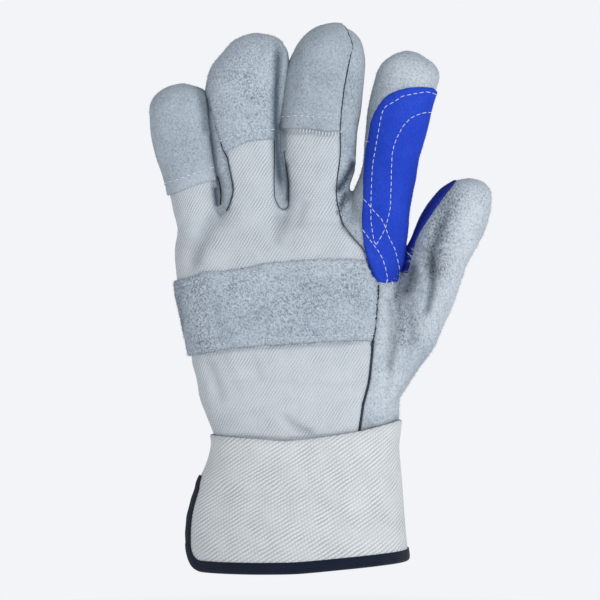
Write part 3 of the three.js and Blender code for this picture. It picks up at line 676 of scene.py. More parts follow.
def cloth_across(x, z):
    """Distance across the cloth of the back, measured along its curve instead of straight across."""
    turn = 0.985
    centre, half_width, _, _ = hand.section(np.minimum(z, 0.150))
    q = np.abs(x - centre) / half_width
    t = np.linspace(0, turn, 60)
    slope = np.gradient((1 - t ** SQUARE) ** (1 / SQUARE), t)
    stretch = np.minimum(np.sqrt(1 + (0.5 * slope[:-1]) ** 2), 1.6)
    curve = np.r_[0, np.cumsum(stretch * np.diff(t))]
    along = np.interp(np.clip(q, 0, turn), t, curve) + np.maximum(q - turn, 0) * 1.6
    return centre + half_width * np.sign(x - centre) * along


print("the back's rim has", len(rim_of([hand, little, ring, middle])[0]), "points")

# %% [markdown]
# The pattern is filled with triangles. Its points are the outline, ragged where the leather's cut edge
# frays, the rims, and a slightly shaken grid between them. A Delaunay triangulation keeps all of those
# lines as mesh edges, which a plain grid trimmed to the outline couldn't do.

# %% Fill a pattern with triangles
RIM_ROWS = (0.0002, 0.0007, 0.0016)
FRAY_GRAIN = 0.0013


def ragged(outline, fray, seed):
    """An outline moved in and out by about fray mm."""
    if not fray:
        return outline
    wander = soft_noise(np.c_[outline, np.zeros(len(outline))], FRAY_GRAIN, seed + 2.0)
    return outline + fray * MM * np.c_[wander, np.roll(wander, 5)]


def filling(outline, rim, tubes, step, seed):
    """Points inside an outline: a shaken triangular grid, and closer rows beside the rims."""
    local = np.random.default_rng(seed)
    low, high = outline.min(0), outline.max(0)
    x, z = np.meshgrid(np.arange(low[0], high[0], step * MM), np.arange(low[1], high[1], step * 0.87 * MM))
    x = x + np.where(np.arange(x.shape[0]) % 2, 0.5 * step * MM, 0)[:, None]
    grid = np.c_[x.ravel(), z.ravel()]
    grid = grid + local.uniform(-0.12, 0.12, grid.shape) * step * MM
    for inset in RIM_ROWS:
        for side in (-inset, inset):
            row = np.c_[rim[:, 0] + side, rim[:, 1]]
            grid = np.vstack([grid, row[inside_any(row, tubes)]])
    grid = grid[inside(grid, outline)]
    return grid[edge_distance(grid, outline) > 0.45 * step * MM]


def triangles_of(outline, tubes, step, seed):
    """Flat points and triangles of the part of a pattern that lies on the tubes."""
    rim, rim_edges = rim_of(tubes)
    count = len(outline)
    edges = [(i, (i + 1) % count) for i in range(count)]
    edges += [(count + a, count + b) for a, b in rim_edges]
    points = np.vstack([outline, rim, filling(outline, rim, tubes, step, seed)])
    made, _, faces, _, _, _ = delaunay_2d_cdt([Vector(p) for p in points], edges, [], 0, 1e-7)
    made = np.array([tuple(p) for p in made])
    faces = np.array([face for face in faces if len(face) == 3])
    middles = made[faces].mean(1)
    faces = faces[inside(middles, outline) & inside_any(middles, tubes)]
    used, faces = np.unique(faces, return_inverse=True)
    return made[used], faces.reshape(-1, 3)


print("patterns are filled with rows", RIM_ROWS, "m beside each rim")

# %% [markdown]
# A sheet has two faces and a rim between them. The outer face stands off by the sheet's thickness and
# rounds down to the edge, because a cut leather edge is never square. The two faces share their
# triangles, so the wall is closed and the same thickness all over.

# %% Cut a sheet
EDGE_HEIGHT = 0.3
EDGE_RADIUS = 0.6


def rim_edges_of(faces):
    """The edges that only one face uses, in that face's direction."""
    sides = {}
    for face in faces:
        for a, b in zip(face, (*face[1:], face[0])):
            sides[(a, b)] = True
    return [(a, b) for a, b in sides if (b, a) not in sides]


def walled(faces, count):
    """Outer faces, the same faces turned round for the inner side, and a rim; count is the points a side."""
    inner = [tuple(i + count for i in reversed(face)) for face in faces]
    rim = [(b, a, a + count, b + count) for a, b in rim_edges_of(faces)]
    return [*faces, *inner, *rim]


def cut_sheet(name, pattern, tubes, low, thick, step=1.2, fray=0.0, seed=0):
    """A sheet of leather or cloth cut to a pattern and laid on the form. low is how far its underside stands
    off the form, in mm."""
    outline = ragged(finely(np.array(pattern) * MM, step * 0.7 * MM), fray, seed)
    flat, faces = triangles_of(outline, tubes, step, seed)
    place, normal = on_back(tubes, flat)
    from_edge = np.minimum(edge_distance(flat, outline) / (EDGE_RADIUS * MM), 1)
    rounded = np.sqrt(np.clip(1 - (1 - from_edge) ** 2, 0, 1))
    outer = place + normal * (low * MM + thick * MM * (EDGE_HEIGHT + (1 - EDGE_HEIGHT) * rounded))[:, None]
    under = place + normal * (low * MM)
    across = np.cross(outer[faces[:, 1]] - outer[faces[:, 0]], outer[faces[:, 2]] - outer[faces[:, 0]])
    wrong = (across * normal[faces[:, 0]]).sum(1) < 0
    faces[wrong] = faces[wrong][:, ::-1]
    sheet = smooth_object(name, np.vstack([outer, under]), walled([tuple(f) for f in faces], len(flat)))
    cloth = np.c_[cloth_across(flat[:, 0], flat[:, 1]), flat[:, 1]]
    map_cloth(sheet, np.vstack([cloth, cloth]))
    area = np.linalg.norm(across, axis=1).sum() / 2
    print(name, len(faces) * 2, "triangles,", round(area * 1e4, 1), "square cm")
    return sheet


print("sheets have an edge rounded over", EDGE_RADIUS, "mm")

# %% [markdown]
# The canvas is one piece: the back of the hand and of three fingers. It runs down into the cuff and, on
# the thumb side, to the dark seam. Its underside is pressed a little into the leather, so no gap shows
# where the two meet at the side of the hand. The strips missing between the fingers are leather.

# %% The canvas
CANVAS = [
    (-95.0, 50.9), (-95.0, 218.9), (-68.2, 191.0), (-39.8, 191.0), (-40.8, 189.1), (-40.3, 184.3),
    (-39.1, 175.2), (-37.4, 172.8), (-33.1, 175.2), (-30.7, 185.3), (-32.6, 194.9), (-36.5, 212.2),
    (-11.5, 212.2), (-11.5, 181.0), (-9.1, 176.2), (-6.7, 175.2), (-4.3, 176.2), (-4.3, 187.2),
    (-6.2, 199.7), (-6.2, 217.9), (20.2, 217.9), (19.7, 216.0), (19.7, 197.8), (18.7, 189.6),
    (18.2, 182.9), (18.7, 176.6), (20.2, 170.9), (21.1, 167.0), (25.9, 161.5), (30.2, 157.2),
    (31.7, 154.1), (32.6, 150.7), (35.0, 145.0), (38.4, 140.2), (37.0, 129.1), (35.5, 113.8),
    (34.8, 105.1), (33.6, 93.6), (30.7, 83.0), (29.0, 71.0), (27.8, 62.4), (-47.0, 62.4),
]
canvas = cut_sheet("back_canvas_sheet", CANVAS, [hand, little, ring, middle], -0.25, 0.6, step=1.3, seed=1)

# %% [markdown]
# Each of those three fingers has a leather cap sewn over the canvas. The patterns reach past the
# fingertip, because a sheet is only cut where the finger is. The middle cap ends at the seam along the
# finger's right side. A slightly ragged edge shows that the leather is cut and not hemmed.

# %% The fingertip caps
LITTLE_CAP = [
    (-80.6, 247.7), (-33.6, 247.7), (-33.6, 192.0), (-41.3, 189.1), (-46.6, 187.7), (-51.4, 185.8),
    (-56.6, 183.8), (-61.4, 182.6), (-80.6, 177.6),
]
RING_CAP = [
    (-51.8, 271.7), (-51.8, 234.2), (-43.4, 232.1), (-40.8, 223.2), (-37.9, 213.1), (-34.6, 203.0),
    (-29.3, 205.0), (-24.5, 207.4), (-20.6, 208.1), (-11.8, 209.0), (-11.5, 227.0), (-11.0, 235.2),
    (-8.6, 244.8), (-7.7, 251.0), (-8.2, 256.3), (-9.6, 271.7),
]
MIDDLE_CAP = [
    (-13.4, 276.5), (-13.4, 214.3), (-7.7, 214.1), (-0.5, 213.8), (6.2, 213.4), (12.5, 212.2),
    (19.7, 212.6), (19.7, 216.0), (20.6, 224.6), (21.6, 233.3), (23.0, 241.7), (24.7, 248.2),
    (25.9, 252.5), (24.5, 257.5), (22.6, 262.6), (20.6, 265.9), (19.2, 276.5),
]
little_cap = cut_sheet("little_cap_sheet", LITTLE_CAP, [little], 0.75, 1.0, step=1.0, fray=0.25, seed=2)
ring_cap = cut_sheet("ring_cap_sheet", RING_CAP, [ring], 0.75, 1.0, step=1.0, fray=0.25, seed=3)
middle_cap = cut_sheet("middle_cap_sheet", MIDDLE_CAP, [middle], 0.75, 1.0, step=1.0, fray=0.25, seed=4)

# %% [markdown]
# The strap across the knuckles is the thickest leather and frays most. It stops at the dark seam on the
# thumb side and runs round the hand on the other.

# %% The knuckle strap
STRAP = [
    (-75.8, 138.7), (-59.5, 141.1), (-48.0, 144.0), (-45.1, 145.7), (-32.6, 146.4), (-23.5, 147.8),
    (-17.3, 149.5), (-6.0, 150.7), (5.3, 151.4), (20.6, 151.8), (31.7, 151.5), (33.1, 147.8),
    (34.8, 143.3), (37.7, 139.7), (37.0, 129.1), (35.5, 113.5), (17.3, 112.8), (1.4, 111.8),
    (-15.4, 110.9), (-29.8, 109.9), (-42.2, 107.7), (-50.4, 106.1), (-53.5, 106.1), (-75.8, 102.7),
]
strap = cut_sheet("knuckle_strap_sheet", STRAP, [hand], 0.8, 1.3, step=1.1, fray=0.9, seed=5)

# %% [markdown]
# Two blue reinforcements guard the crook of the thumb: one down the index finger and onto the hand, and a
# strip along the thumb's inner edge. Between them they cover the crook, so their lower edges share
# points.

# %% The blue patches
INDEX_PATCH = [
    (82.6, 231.8), (66.2, 233.0), (64.1, 234.0), (58.6, 234.0), (53.1, 233.6), (48.0, 232.3),
    (43.7, 230.4), (40.8, 228.0), (38.4, 224.6), (36.5, 221.3), (35.0, 217.0), (34.1, 211.2),
    (32.9, 205.0), (32.2, 200.2), (31.4, 190.1), (31.2, 180.0), (30.6, 173.3), (30.6, 165.6),
    (31.2, 158.9), (32.6, 153.1), (34.3, 145.4), (35.5, 143.0), (37.9, 141.1), (40.8, 140.6),
    (49.0, 141.4), (50.1, 146.9), (50.6, 151.7), (51.5, 156.5), (52.4, 161.3), (53.7, 166.1),
    (54.7, 170.9), (56.2, 175.7), (58.1, 180.5), (62.9, 190.1), (82.6, 223.7),
]
THUMB_PATCH = [
    (76.3, 189.6), (73.4, 186.2), (69.6, 181.4), (65.5, 175.7), (61.9, 170.4), (58.6, 165.4),
    (56.2, 160.3), (54.5, 153.1), (52.3, 145.4), (47.0, 145.4), (49.4, 156.5), (52.3, 161.3),
    (53.3, 166.1), (54.7, 170.9), (56.2, 175.7), (58.1, 180.5), (62.4, 190.1), (68.2, 194.9),
]
index_patch = cut_sheet("index_patch_sheet", INDEX_PATCH, [index, hand], 0.2, 1.1, step=1.0, seed=6)
thumb_patch = cut_sheet("thumb_patch_sheet", THUMB_PATCH, [thumb], 0.15, 0.7, step=0.8, seed=7)

# %% [markdown]
# The palm side, the thumb and the finger sides are the leather itself, which is the form's own surface in
# six pieces. First the seams that part them, as lines drawn from the hand upwards, and the area that the
# canvas hides, where the leather is cut away.

# %% Where the leather is sewn
LITTLE_RING = [
    (-37.4, 168.0), (-38.9, 178.6), (-40.2, 189.1), (-41.0, 203.0), (-42.5, 217.0), (-43.3, 228.5),
    (-43.2, 276.5),
]
RING_MIDDLE = [
    (-6.7, 168.0), (-6.9, 175.2), (-7.3, 185.3), (-8.2, 194.9), (-8.8, 204.5), (-8.3, 216.5),
    (-7.2, 226.6), (-5.8, 235.7), (-4.8, 242.9), (-3.8, 252.5), (-2.9, 276.5),
]
MIDDLE_INDEX = [
    (20.6, 175.7), (24.7, 182.9), (25.1, 185.8), (26.5, 190.1), (27.8, 194.9), (28.6, 199.7),
    (29.3, 204.5), (30.0, 209.3), (30.7, 214.1), (31.4, 218.9), (32.0, 223.7), (32.6, 228.5),
    (33.4, 233.3), (34.1, 238.1), (34.9, 242.9), (35.5, 252.5), (35.5, 276.5),
]
INDEX_THUMB = [
    (63.4, 190.1), (58.6, 180.5), (56.6, 175.7), (55.2, 170.9), (54.0, 166.1), (52.8, 161.3),
    (51.8, 156.5), (51.0, 151.7), (50.4, 147.4),
]
COVERED = [
    (-95.0, 50.9), (-95.0, 187.2), (-44.2, 187.2), (-44.2, 180.5), (-42.2, 171.8), (-36.5, 169.9),
    (-28.8, 173.8), (-27.8, 185.3), (-29.8, 199.7), (-32.6, 207.4), (-14.4, 207.4), (-14.4, 178.6),
    (-10.1, 172.8), (-4.8, 172.8), (-1.4, 176.6), (-1.4, 190.1), (-3.4, 204.5), (-2.9, 214.1),
    (16.8, 214.1), (16.8, 199.7), (15.8, 182.9), (15.8, 175.7), (17.8, 168.0), (22.1, 163.2),
    (27.8, 156.5), (29.3, 150.7), (31.7, 144.0), (34.6, 138.2), (33.6, 129.1), (32.6, 113.8),
    (31.7, 105.1), (30.2, 93.6), (27.8, 83.0), (25.9, 62.4), (-95.0, 62.4),
]
ZONES = {
    "little": [(-95.0, 168.0), (-95.0, 276.5), *reversed(LITTLE_RING)],
    "ring": [*LITTLE_RING, *reversed(RING_MIDDLE)],
    "middle": [*RING_MIDDLE, *reversed(MIDDLE_INDEX), (20.9, 168.0)],
    "index": [*MIDDLE_INDEX, (77.8, 276.5), (77.8, 228.5), *INDEX_THUMB, (34.1, 147.4), (32.6, 150.7),
              (31.7, 154.1), (30.2, 157.2), (25.9, 161.5), (21.1, 167.0)],
    "thumb": [(63.4, 204.5), *INDEX_THUMB, (49.4, 141.6), (55.2, 129.6), (61.4, 117.1), (66.7, 104.6),
              (73.9, 91.7), (111.4, 91.7), (111.4, 204.5)],
}
print("seams drawn for", ", ".join(ZONES), "and what is left is the palm")

# %% [markdown]
# Every face of the form goes to one piece, or to none where the canvas covers it. The cut goes well under
# the canvas, down its side, so the two overlap as sewn pieces do.

# %% Which face belongs to which piece
WRIST = 0.0644
OVERLAP_DEPTH = -0.0032
centres = np.array([np.mean(form_points[list(face)], axis=0) for face in form_faces])
face_normals = np.array([tuple(face.normal) for face in form.data.polygons])
flat_centres = centres[:, [0, 2]]
zone = np.full(len(centres), "palm", dtype=object)
for key in ("little", "ring", "middle", "index", "thumb"):
    zone[inside(flat_centres, np.array(ZONES[key]) * MM)] = key
on_the_back = (centres[:, 1] < OVERLAP_DEPTH) & (face_normals[:, 1] < 0.2)
hidden = inside(flat_centres, np.array(COVERED) * MM) & on_the_back
hidden |= centres[:, 2] < WRIST
print(int(hidden.sum()), "of", len(hidden), "faces cut away")

# %% [markdown]
# Under a cap the leather is padded out, so that the cap's edge lies against it all round the fingertip.

# %% Plump the fingertips
CAP_FILL = 0.0012
plump = np.zeros(len(form_points))
for pattern in (LITTLE_CAP, RING_CAP, MIDDLE_CAP):
    outline = np.array(pattern) * MM
    within = inside(form_points[:, [0, 2]], outline)
    from_edge = edge_distance(form_points[within][:, [0, 2]], outline)
    plump[within] = CAP_FILL * np.minimum(from_edge / 0.004, 1)
filled = form_points + form_normals * plump[:, None]
print(int((plump > 0).sum()), "points padded out")

# %% [markdown]
# Each piece of leather gets a wall: its faces, the same faces moved in by the leather's thickness, and a
# rim. The wrist stays open, so the glove is hollow like a real one.

# %% The leather pieces
LEATHER = 0.0011
skins = {}
for key in ("palm", "thumb", "index", "middle", "ring", "little"):
    chosen = [form_faces[i] for i in np.nonzero((zone == key) & ~hidden)[0]]
    used = np.unique(np.concatenate([np.array(face) for face in chosen]))
    new_place = {int(i): k for k, i in enumerate(used)}
    outer_faces = [tuple(new_place[i] for i in face) for face in chosen]
    outer = filled[used]
    inner = outer - form_normals[used] * LEATHER
    name = key + "_leather_skin"
    skins[key] = smooth_object(name, np.vstack([outer, inner]), walled(outer_faces, len(used)))
    print(key, len(outer_faces), "quads")
bpy.data.objects.remove(form)

# %% [markdown]
# The safety cuff is one strip of stiff twill bent round the wrist. It flares towards its mouth and narrows
# on the little finger side, where its slit is. Each row: height, left edge, right edge and thickness from
# back to palm in mm, and how full the slit side is, where 2 is an oval and less is more pointed. The thumb
# side is as full as the fingers.

# %% Cross-sections of the cuff
CUFF = [
    (-1.4, -53.0, 52.8, 61.5, 1.6), (9.6, -53.9, 52.8, 61.5, 1.6), (22.1, -54.0, 51.7, 59.7, 1.62),
    (31.7, -52.7, 50.9, 57.8, 1.67), (42.2, -49.4, 50.2, 54.5, 1.75), (53.8, -44.2, 49.2, 51, 2),
    (62.4, -41.9, 48.6, 48.2, 2.35), (68.2, -42.3, 49.2, 47.8, 2.35), (73.0, -43.1, 49.8, 49.4, 2.35),
    (78.7, -45.6, 50.2, 50, 2.35),
]
LEVELS = np.linspace(-6, 78, 170)
cuff_rows = smooth_rows(CUFF)
cuff_heights = np.maximum.accumulate(cuff_rows[:, 0])


def cuff_ring(z):
    """Points round the cuff's outside at height z mm, from the slit over the back and round to the slit."""
    left, right, deep, keen = (np.interp(z, cuff_heights, column) for column in cuff_rows.T[1:])
    angle = np.linspace(0, 2 * np.pi, 721)
    co, si = np.cos(angle), np.sin(angle)
    power = np.where(co > 0, 2 / keen, 2 / SQUARE)
    x = (left + right) / 2 - (right - left) / 2 * np.sign(co) * np.abs(co) ** power
    y = -deep / 2 * np.sign(si) * np.abs(si) ** power
    return x, y


RINGS = np.array([np.stack(cuff_ring(z), 1) for z in LEVELS])
ring_steps = np.linalg.norm(np.diff(RINGS, axis=1), axis=2)
ARCS = np.concatenate([np.zeros((len(LEVELS), 1)), np.cumsum(ring_steps, axis=1)], axis=1)
ROUND = ARCS[30, -1]
print("the cuff is", round(float(ROUND), 1), "mm round near its mouth")

# %% [markdown]
# Points on the cuff are named by how far round they are (0 to 1) and by their height, so the cuff and
# later its tape share one surface. The slit opens towards the hem and closes at its top, and the whole
# strip waves a little near the mouth, where nothing holds it.

# %% Points on the cuff
SLIT_TOP = 47.3
SLIT_HALF = 2.7
WAVE = 0.5


def slit_half(z):
    """Half the slit's width at height z mm."""
    t = np.clip((SLIT_TOP - z) / 6.0, 0, 1)
    return 0.06 + SLIT_HALF * t * t * (3 - 2 * t)


def cuff_point(share, z):
    """Points of the cuff's outside, mm; share is how far round they are, z their height in mm."""
    share, z = np.broadcast_arrays(np.asarray(share, float), np.asarray(z, float))
    shape = share.shape
    share, z = share.ravel(), z.ravel()
    row = np.clip((z - LEVELS[0]) / (LEVELS[1] - LEVELS[0]), 0, len(LEVELS) - 1.001)
    below = row.astype(int)
    past = row - below
    opening = slit_half(z)
    out = np.zeros((len(share), 3))
    for level, weight in ((below, 1 - past), (below + 1, past)):
        for k in np.unique(level):
            here = level == k
            along = opening[here] + share[here] * (ARCS[k, -1] - 2 * opening[here])
            out[here, 0] += weight[here] * np.interp(along, ARCS[k], RINGS[k, :, 0])
            out[here, 1] += weight[here] * np.interp(along, ARCS[k], RINGS[k, :, 1])
    out[:, 2] = z
    wave = np.sin(out[:, 0] * 0.07 + z * 0.05) * np.clip((60 - z) / 60, 0, 1)
    out[:, 1] += WAVE * wave * np.where(out[:, 1] < 0, 1, -1)
    return out.reshape(shape + (3,))


def cuff_normal(share, z):
    """The way the cuff's outside faces at the same kind of places."""
    round_it = cuff_point(share + 0.002, z) - cuff_point(share - 0.002, z)
    upward = cuff_point(share, z + 0.4) - cuff_point(share, z - 0.4)
    normal = np.cross(round_it, upward)
    return normal / np.linalg.norm(normal, axis=-1, keepdims=True)


print("slit", round(2 * float(slit_half(0.0)), 1), "mm wide at the hem")

# %% [markdown]
# The hem and the top edge aren't level: both are read as lines across the back. The hem is smoothed, and
# at the slit it turns up in a round corner. Columns of points stand closer together near the slit, where
# the cloth bends most.

# %% Edges of the cuff
HEM_LINE = [(-60, 3.8), (-40, 3.8), (-22.6, 4.2), (0, 4.9), (21, 6.7), (41, 8.2), (60, 9.2)]
TOP_LINE = [
    (-147.6, 67.9), (-41.8, 67.9), (-21.3, 67.0), (-6.6, 66.0), (5.3, 67.0), (17.3, 68.6), (29.5, 70.4),
    (47.6, 74.9), (147.6, 74.9),
]
CORNER = 12.0


def height_of(line, x):
    """How high a line of (across, up) points is at each place across."""
    places, heights = np.array(line, dtype=float).T
    return np.interp(x, places, heights)


near_slit = [0, 0.3, 0.8, 1.5, 2.4, 3.5, 4.8, 6.2, 7.8, 9.4, 11]
across = np.r_[near_slit, np.arange(12.6, ROUND / 2, 1.5)] / ROUND
across = np.r_[across, 1 - across[::-1]]
hem = height_of(HEM_LINE, cuff_point(across, np.full(len(across), 3.0))[:, 0])
for _ in range(12):
    hem[1:-1] = (hem[:-2] + 2 * hem[1:-1] + hem[2:]) / 4
from_slit = np.minimum(across, 1 - across) * ROUND
corner_rise = CORNER - np.sqrt(CORNER ** 2 - np.clip(CORNER - from_slit, 0, CORNER) ** 2)
bottom = hem + corner_rise
top = height_of(TOP_LINE, cuff_point(across, np.full(len(across), 68.0))[:, 0])
print(len(across), "columns, hem from", round(hem.min(), 1), "to", round(hem.max(), 1), "mm")

# %% [markdown]
# The cuff is a net between those edges, with a wall as thick as two layers of twill. Its top edge is
# rounded over, because the cloth is folded there. The hem stays raw: the tape covers it.

# %% The cuff
CUFF_WALL = 1.3
TOP_ROUND = 0.35
upward = np.r_[0, 0.006, 0.02, np.linspace(0.04, 0.97, 54), 0.985, 0.995, 1.0]
heights = bottom[None, :] + upward[:, None] * (top - bottom)[None, :]
shares = np.repeat(across[None, :], len(upward), 0)
surface = cuff_point(shares, heights)
facing = cuff_normal(np.clip(shares, 0.003, 0.997), heights)
near_top = np.clip((1 - upward) / 0.015, 0, 1)[:, None, None]
outer_wall = surface - facing * (TOP_ROUND * (1 - np.sqrt(1 - (1 - near_top) ** 2)))
inner_wall = surface - facing * CUFF_WALL
rows, columns = shares.shape
faces = []
for r in range(rows - 1):
    for c in range(columns - 1):
        a = r * columns + c
        faces.append((a, a + 1, a + columns + 1, a + columns))
verts = np.vstack([outer_wall.reshape(-1, 3), inner_wall.reshape(-1, 3)]) * MM
cuff = smooth_object("cuff_twill_sheet", verts, walled(faces, rows * columns))
cloth = np.stack([shares * ROUND * MM, heights * MM], 2).reshape(-1, 2)
map_cloth(cuff, np.vstack([cloth, cloth]))
print("cuff", rows, "by", columns, "points")

# %% [markdown]
# A navy tape is folded over the raw edge. It runs down one side of the slit, round the corner, along the
# hem and up the other side. Each stop on that path says where the tape is and which way the cloth lies
# from it.

# %% The tape's path
def corner_stop(angle, right):
    """A stop at an angle round a corner; right is true for the corner at the far end of the hem."""
    s = CORNER * (1 - np.cos(angle)) / ROUND
    share = 1 - s if right else s
    into = -np.cos(angle) if right else np.cos(angle)
    return share, np.interp(share, across, hem) + CORNER * (1 - np.sin(angle)), into, np.sin(angle)


quarter = np.linspace(0, np.pi / 2, 12)
hem_shares = np.arange(CORNER / ROUND, 1 - CORNER / ROUND, 1.4 / ROUND)[1:]
path = [(0.0, z, 1.0, 0.0) for z in np.arange(SLIT_TOP + 0.8, CORNER + 2, -1.2)]
path += [corner_stop(angle, False) for angle in quarter]
path += [(share, np.interp(share, across, hem), 0.0, 1.0) for share in hem_shares]
path += [corner_stop(angle, True) for angle in np.linspace(np.pi / 2, 0, 12)]
path += [(1.0, z, -1.0, 0.0) for z in np.arange(CORNER + 2.4, SLIT_TOP + 0.8, 1.2)]
path = np.array(path, dtype=float)
print(len(path), "stops along the tape")

# %% [markdown]
# The tape's cross-section is a U that grips both faces of the cuff, drawn as a closed outline: in from
# the edge, and out from the cuff's surface. Swept along the path it swells and sinks a little, as a tape
# does that was fed by hand under the needle.

# %% The binding tape
TAPE_OUTLINE = [
    (4.9, 0.15), (4.85, 0.62), (4.5, 0.78), (4.05, 0.62), (3.6, 0.8), (2.4, 0.86), (1.2, 0.9), (0.2, 0.8),
    (-0.45, 0.4), (-0.75, -0.2), (-0.8, -0.7), (-0.75, -1.2), (-0.45, -1.8), (0.2, -2.15), (1.2, -2.2),
    (3.0, -2.15), (4.5, -2.1), (4.85, -1.9), (4.8, -1.5), (2.5, -1.42), (0.3, -1.42), (-0.15, -1.2),
    (-0.15, -0.2), (0.3, 0.08), (2.5, 0.08),
]
TAPE_OUTLINE = np.array(TAPE_OUTLINE)


def tape_section(k, share, z, to_share, to_z):
    """The folded tape's outline at stop k of its path, mm."""
    width, off = TAPE_OUTLINE.T
    reach = np.clip(share + to_share * width / ROUND, -0.02, 1.02)
    on_cuff = np.clip(reach, 0, 1)
    points = cuff_point(on_cuff, z + to_z * width)
    normal = cuff_normal(np.clip(reach, 0.003, 0.997), z + to_z * width)
    side = cuff_point(np.clip(share + 0.004, 0, 1), z) - cuff_point(np.clip(share - 0.004, 0, 1), z)
    side = side / np.linalg.norm(side)
    points = points + side[None, :] * ((reach - on_cuff) * ROUND)[:, None]
    ripple = 1 + 0.10 * math.sin(k * 0.9) + 0.07 * math.sin(k * 0.37 + 1)
    inner = np.where(off < -1.6, -1.4 + (off + 1.4) * ripple, off)
    return points + normal * np.where(off > 0.3, off * ripple, inner)[:, None]


def loft_faces(sections, around, first=0):
    """Faces of a closed tube of sections with the same number of points, and of its two ends."""
    faces = []
    for k in range(sections - 1):
        low = first + k * around
        high = low + around
        for a in range(around):
            b = (a + 1) % around
            faces.append((low + a, low + b, high + b, high + a))
    faces.append(tuple(first + a for a in reversed(range(around))))
    faces.append(tuple(first + (sections - 1) * around + a for a in range(around)))
    return faces


def run_along(points):
    """How far along a line each of its points is."""
    return np.r_[0, np.cumsum(np.linalg.norm(np.diff(points, axis=0), axis=1))]


sections = np.array([tape_section(k, *stop) for k, stop in enumerate(path)]) * MM
faces = [face[::-1] for face in loft_faces(len(path), len(TAPE_OUTLINE))]
tape = smooth_object("cuff_binding_tape", sections.reshape(-1, 3), faces)
lengthwise = run_along(sections[:, 6])
crosswise = run_along(np.vstack([TAPE_OUTLINE, TAPE_OUTLINE[:1]]))[:-1] * MM
map_cloth(tape, np.array([(along, over) for along in lengthwise for over in crosswise]))
print("tape is", round(float(lengthwise[-1]) * 1000), "mm long")

# %% [markdown]
# Thread is real geometry: each stitch is a small rounded bar that lies on the sheet and dips in at both
# ends, so it catches light and throws a shadow the way thick sewing thread does. A painted dash would lie
# flat. A row always ends with a whole stitch, so crossing rows meet.

# %% A row of stitches
STITCH_ALONG = np.array([0.0, 0.22, 0.5, 0.78, 1.0])
STITCH_RISE = np.array([-0.35, 0.55, 1.0, 0.55, -0.35])
STITCH_SIZE = (0.55, 0.95, 1.0, 0.95, 0.55)
THREAD_SIDES = 6


def round_section(centre, tangent, normal, radius, sides):
    """Points of a round cross-section of a thread or cord that runs along tangent."""
    side = np.cross(tangent, normal)
    side /= np.linalg.norm(side)
    up = np.cross(side, tangent)
    angles = [a / sides * 2 * math.pi for a in range(sides)]
    return [centre + radius * (math.cos(t) * side + math.sin(t) * up) for t in angles]


def stitch_row(name, lines, tubes, height, length=2.1, gap=0.9, radius=0.24, lift=0.25):
    """Stitches along lines on the back of some tubes. height is how far the sheet's face is off the form."""
    verts = []
    faces = []
    for line in lines:
        dense = finely(np.array(line) * MM, 0.0002, closed=False)
        run = run_along(dense)
        count = max(1, round((run[-1] / MM + gap) / (length + gap)))
        for start in np.arange(count) * (run[-1] + gap * MM) / count:
            along = start + STITCH_ALONG * length * MM
            flat = np.c_[np.interp(along, run, dense[:, 0]), np.interp(along, run, dense[:, 1])]
            place, normal = on_back(tubes, flat)
            core = place + normal * (height * MM + STITCH_RISE * lift * MM)[:, None]
            tangent = core[-1] - core[0]
            tangent /= np.linalg.norm(tangent)
            faces += loft_faces(len(core), THREAD_SIDES, len(verts))
            for i, size in enumerate(STITCH_SIZE):
                verts += round_section(core[i], tangent, normal[i], radius * MM * size, THREAD_SIDES)
    print(name, len(verts) // (len(STITCH_SIZE) * THREAD_SIDES), "stitches")
    return smooth_object(name, verts, faces)


print("each stitch is a bar with", len(STITCH_SIZE), "sections")

# %% [markdown]
# White thread holds the blue patch with two rows that follow its edge and meet in a point. Two more rows
# cross them from the finger's side down to the lower edge, where short thread ends hang out.

# %% Stitches of the blue patch
PATCH_LINES = [[(65.3, 231.4), (60.5, 231.8), (54.7, 230.4), (49.4, 229.0), (46.6, 227.0), (42.0, 224.2),
                (40.8, 222.2), (39.8, 218.4), (39.1, 214.1), (37.9, 206.9), (37.3, 202.6), (36.5, 198.7),
                (36.0, 194.9), (35.5, 189.6), (35.0, 181.4), (34.8, 174.7), (34.8, 169.9), (35.4, 164.6),
                (36.0, 160.6), (37.0, 158.6)],
               [(63.2, 222.7), (59.3, 221.8), (56.2, 220.6), (53.1, 218.9), (49.9, 215.2), (47.0, 209.5),
                (45.6, 205.9), (44.6, 201.6), (44.2, 193.4), (43.8, 185.3), (43.4, 177.1), (42.7, 173.3),
                (41.1, 166.6), (39.4, 162.7), (37.0, 158.6)],
               [(31.7, 180.2), (33.6, 178.1), (36.0, 174.7), (39.4, 170.9), (41.1, 167.0), (42.2, 163.2),
                (43.7, 159.8), (45.1, 156.5), (46.1, 152.2), (47.0, 148.8), (47.3, 144.5), (47.3, 141.6)],
               [(30.7, 165.6), (32.6, 163.2), (35.3, 159.4), (37.7, 156.0), (39.8, 152.2), (41.1, 148.3),
                (41.8, 144.5), (41.8, 141.1)], [(32.6, 207.7), (35.3, 207.9)],
               [(41.5, 142.1), (41.3, 139.2)], [(43.7, 141.6), (44.4, 139.0)],
               [(47.0, 142.1), (46.6, 139.2)]]
white_stitches = stitch_row("index_patch_stitches", PATCH_LINES, [index, hand], 1.3, length=2.1, gap=0.85,
                            radius=0.16, lift=0.2)

# %% [markdown]
# Grey thread holds the caps, with one row just above each lower edge. Where the middle cap ends, the
# canvas has frayed, and its yarns stick out as a short fringe.

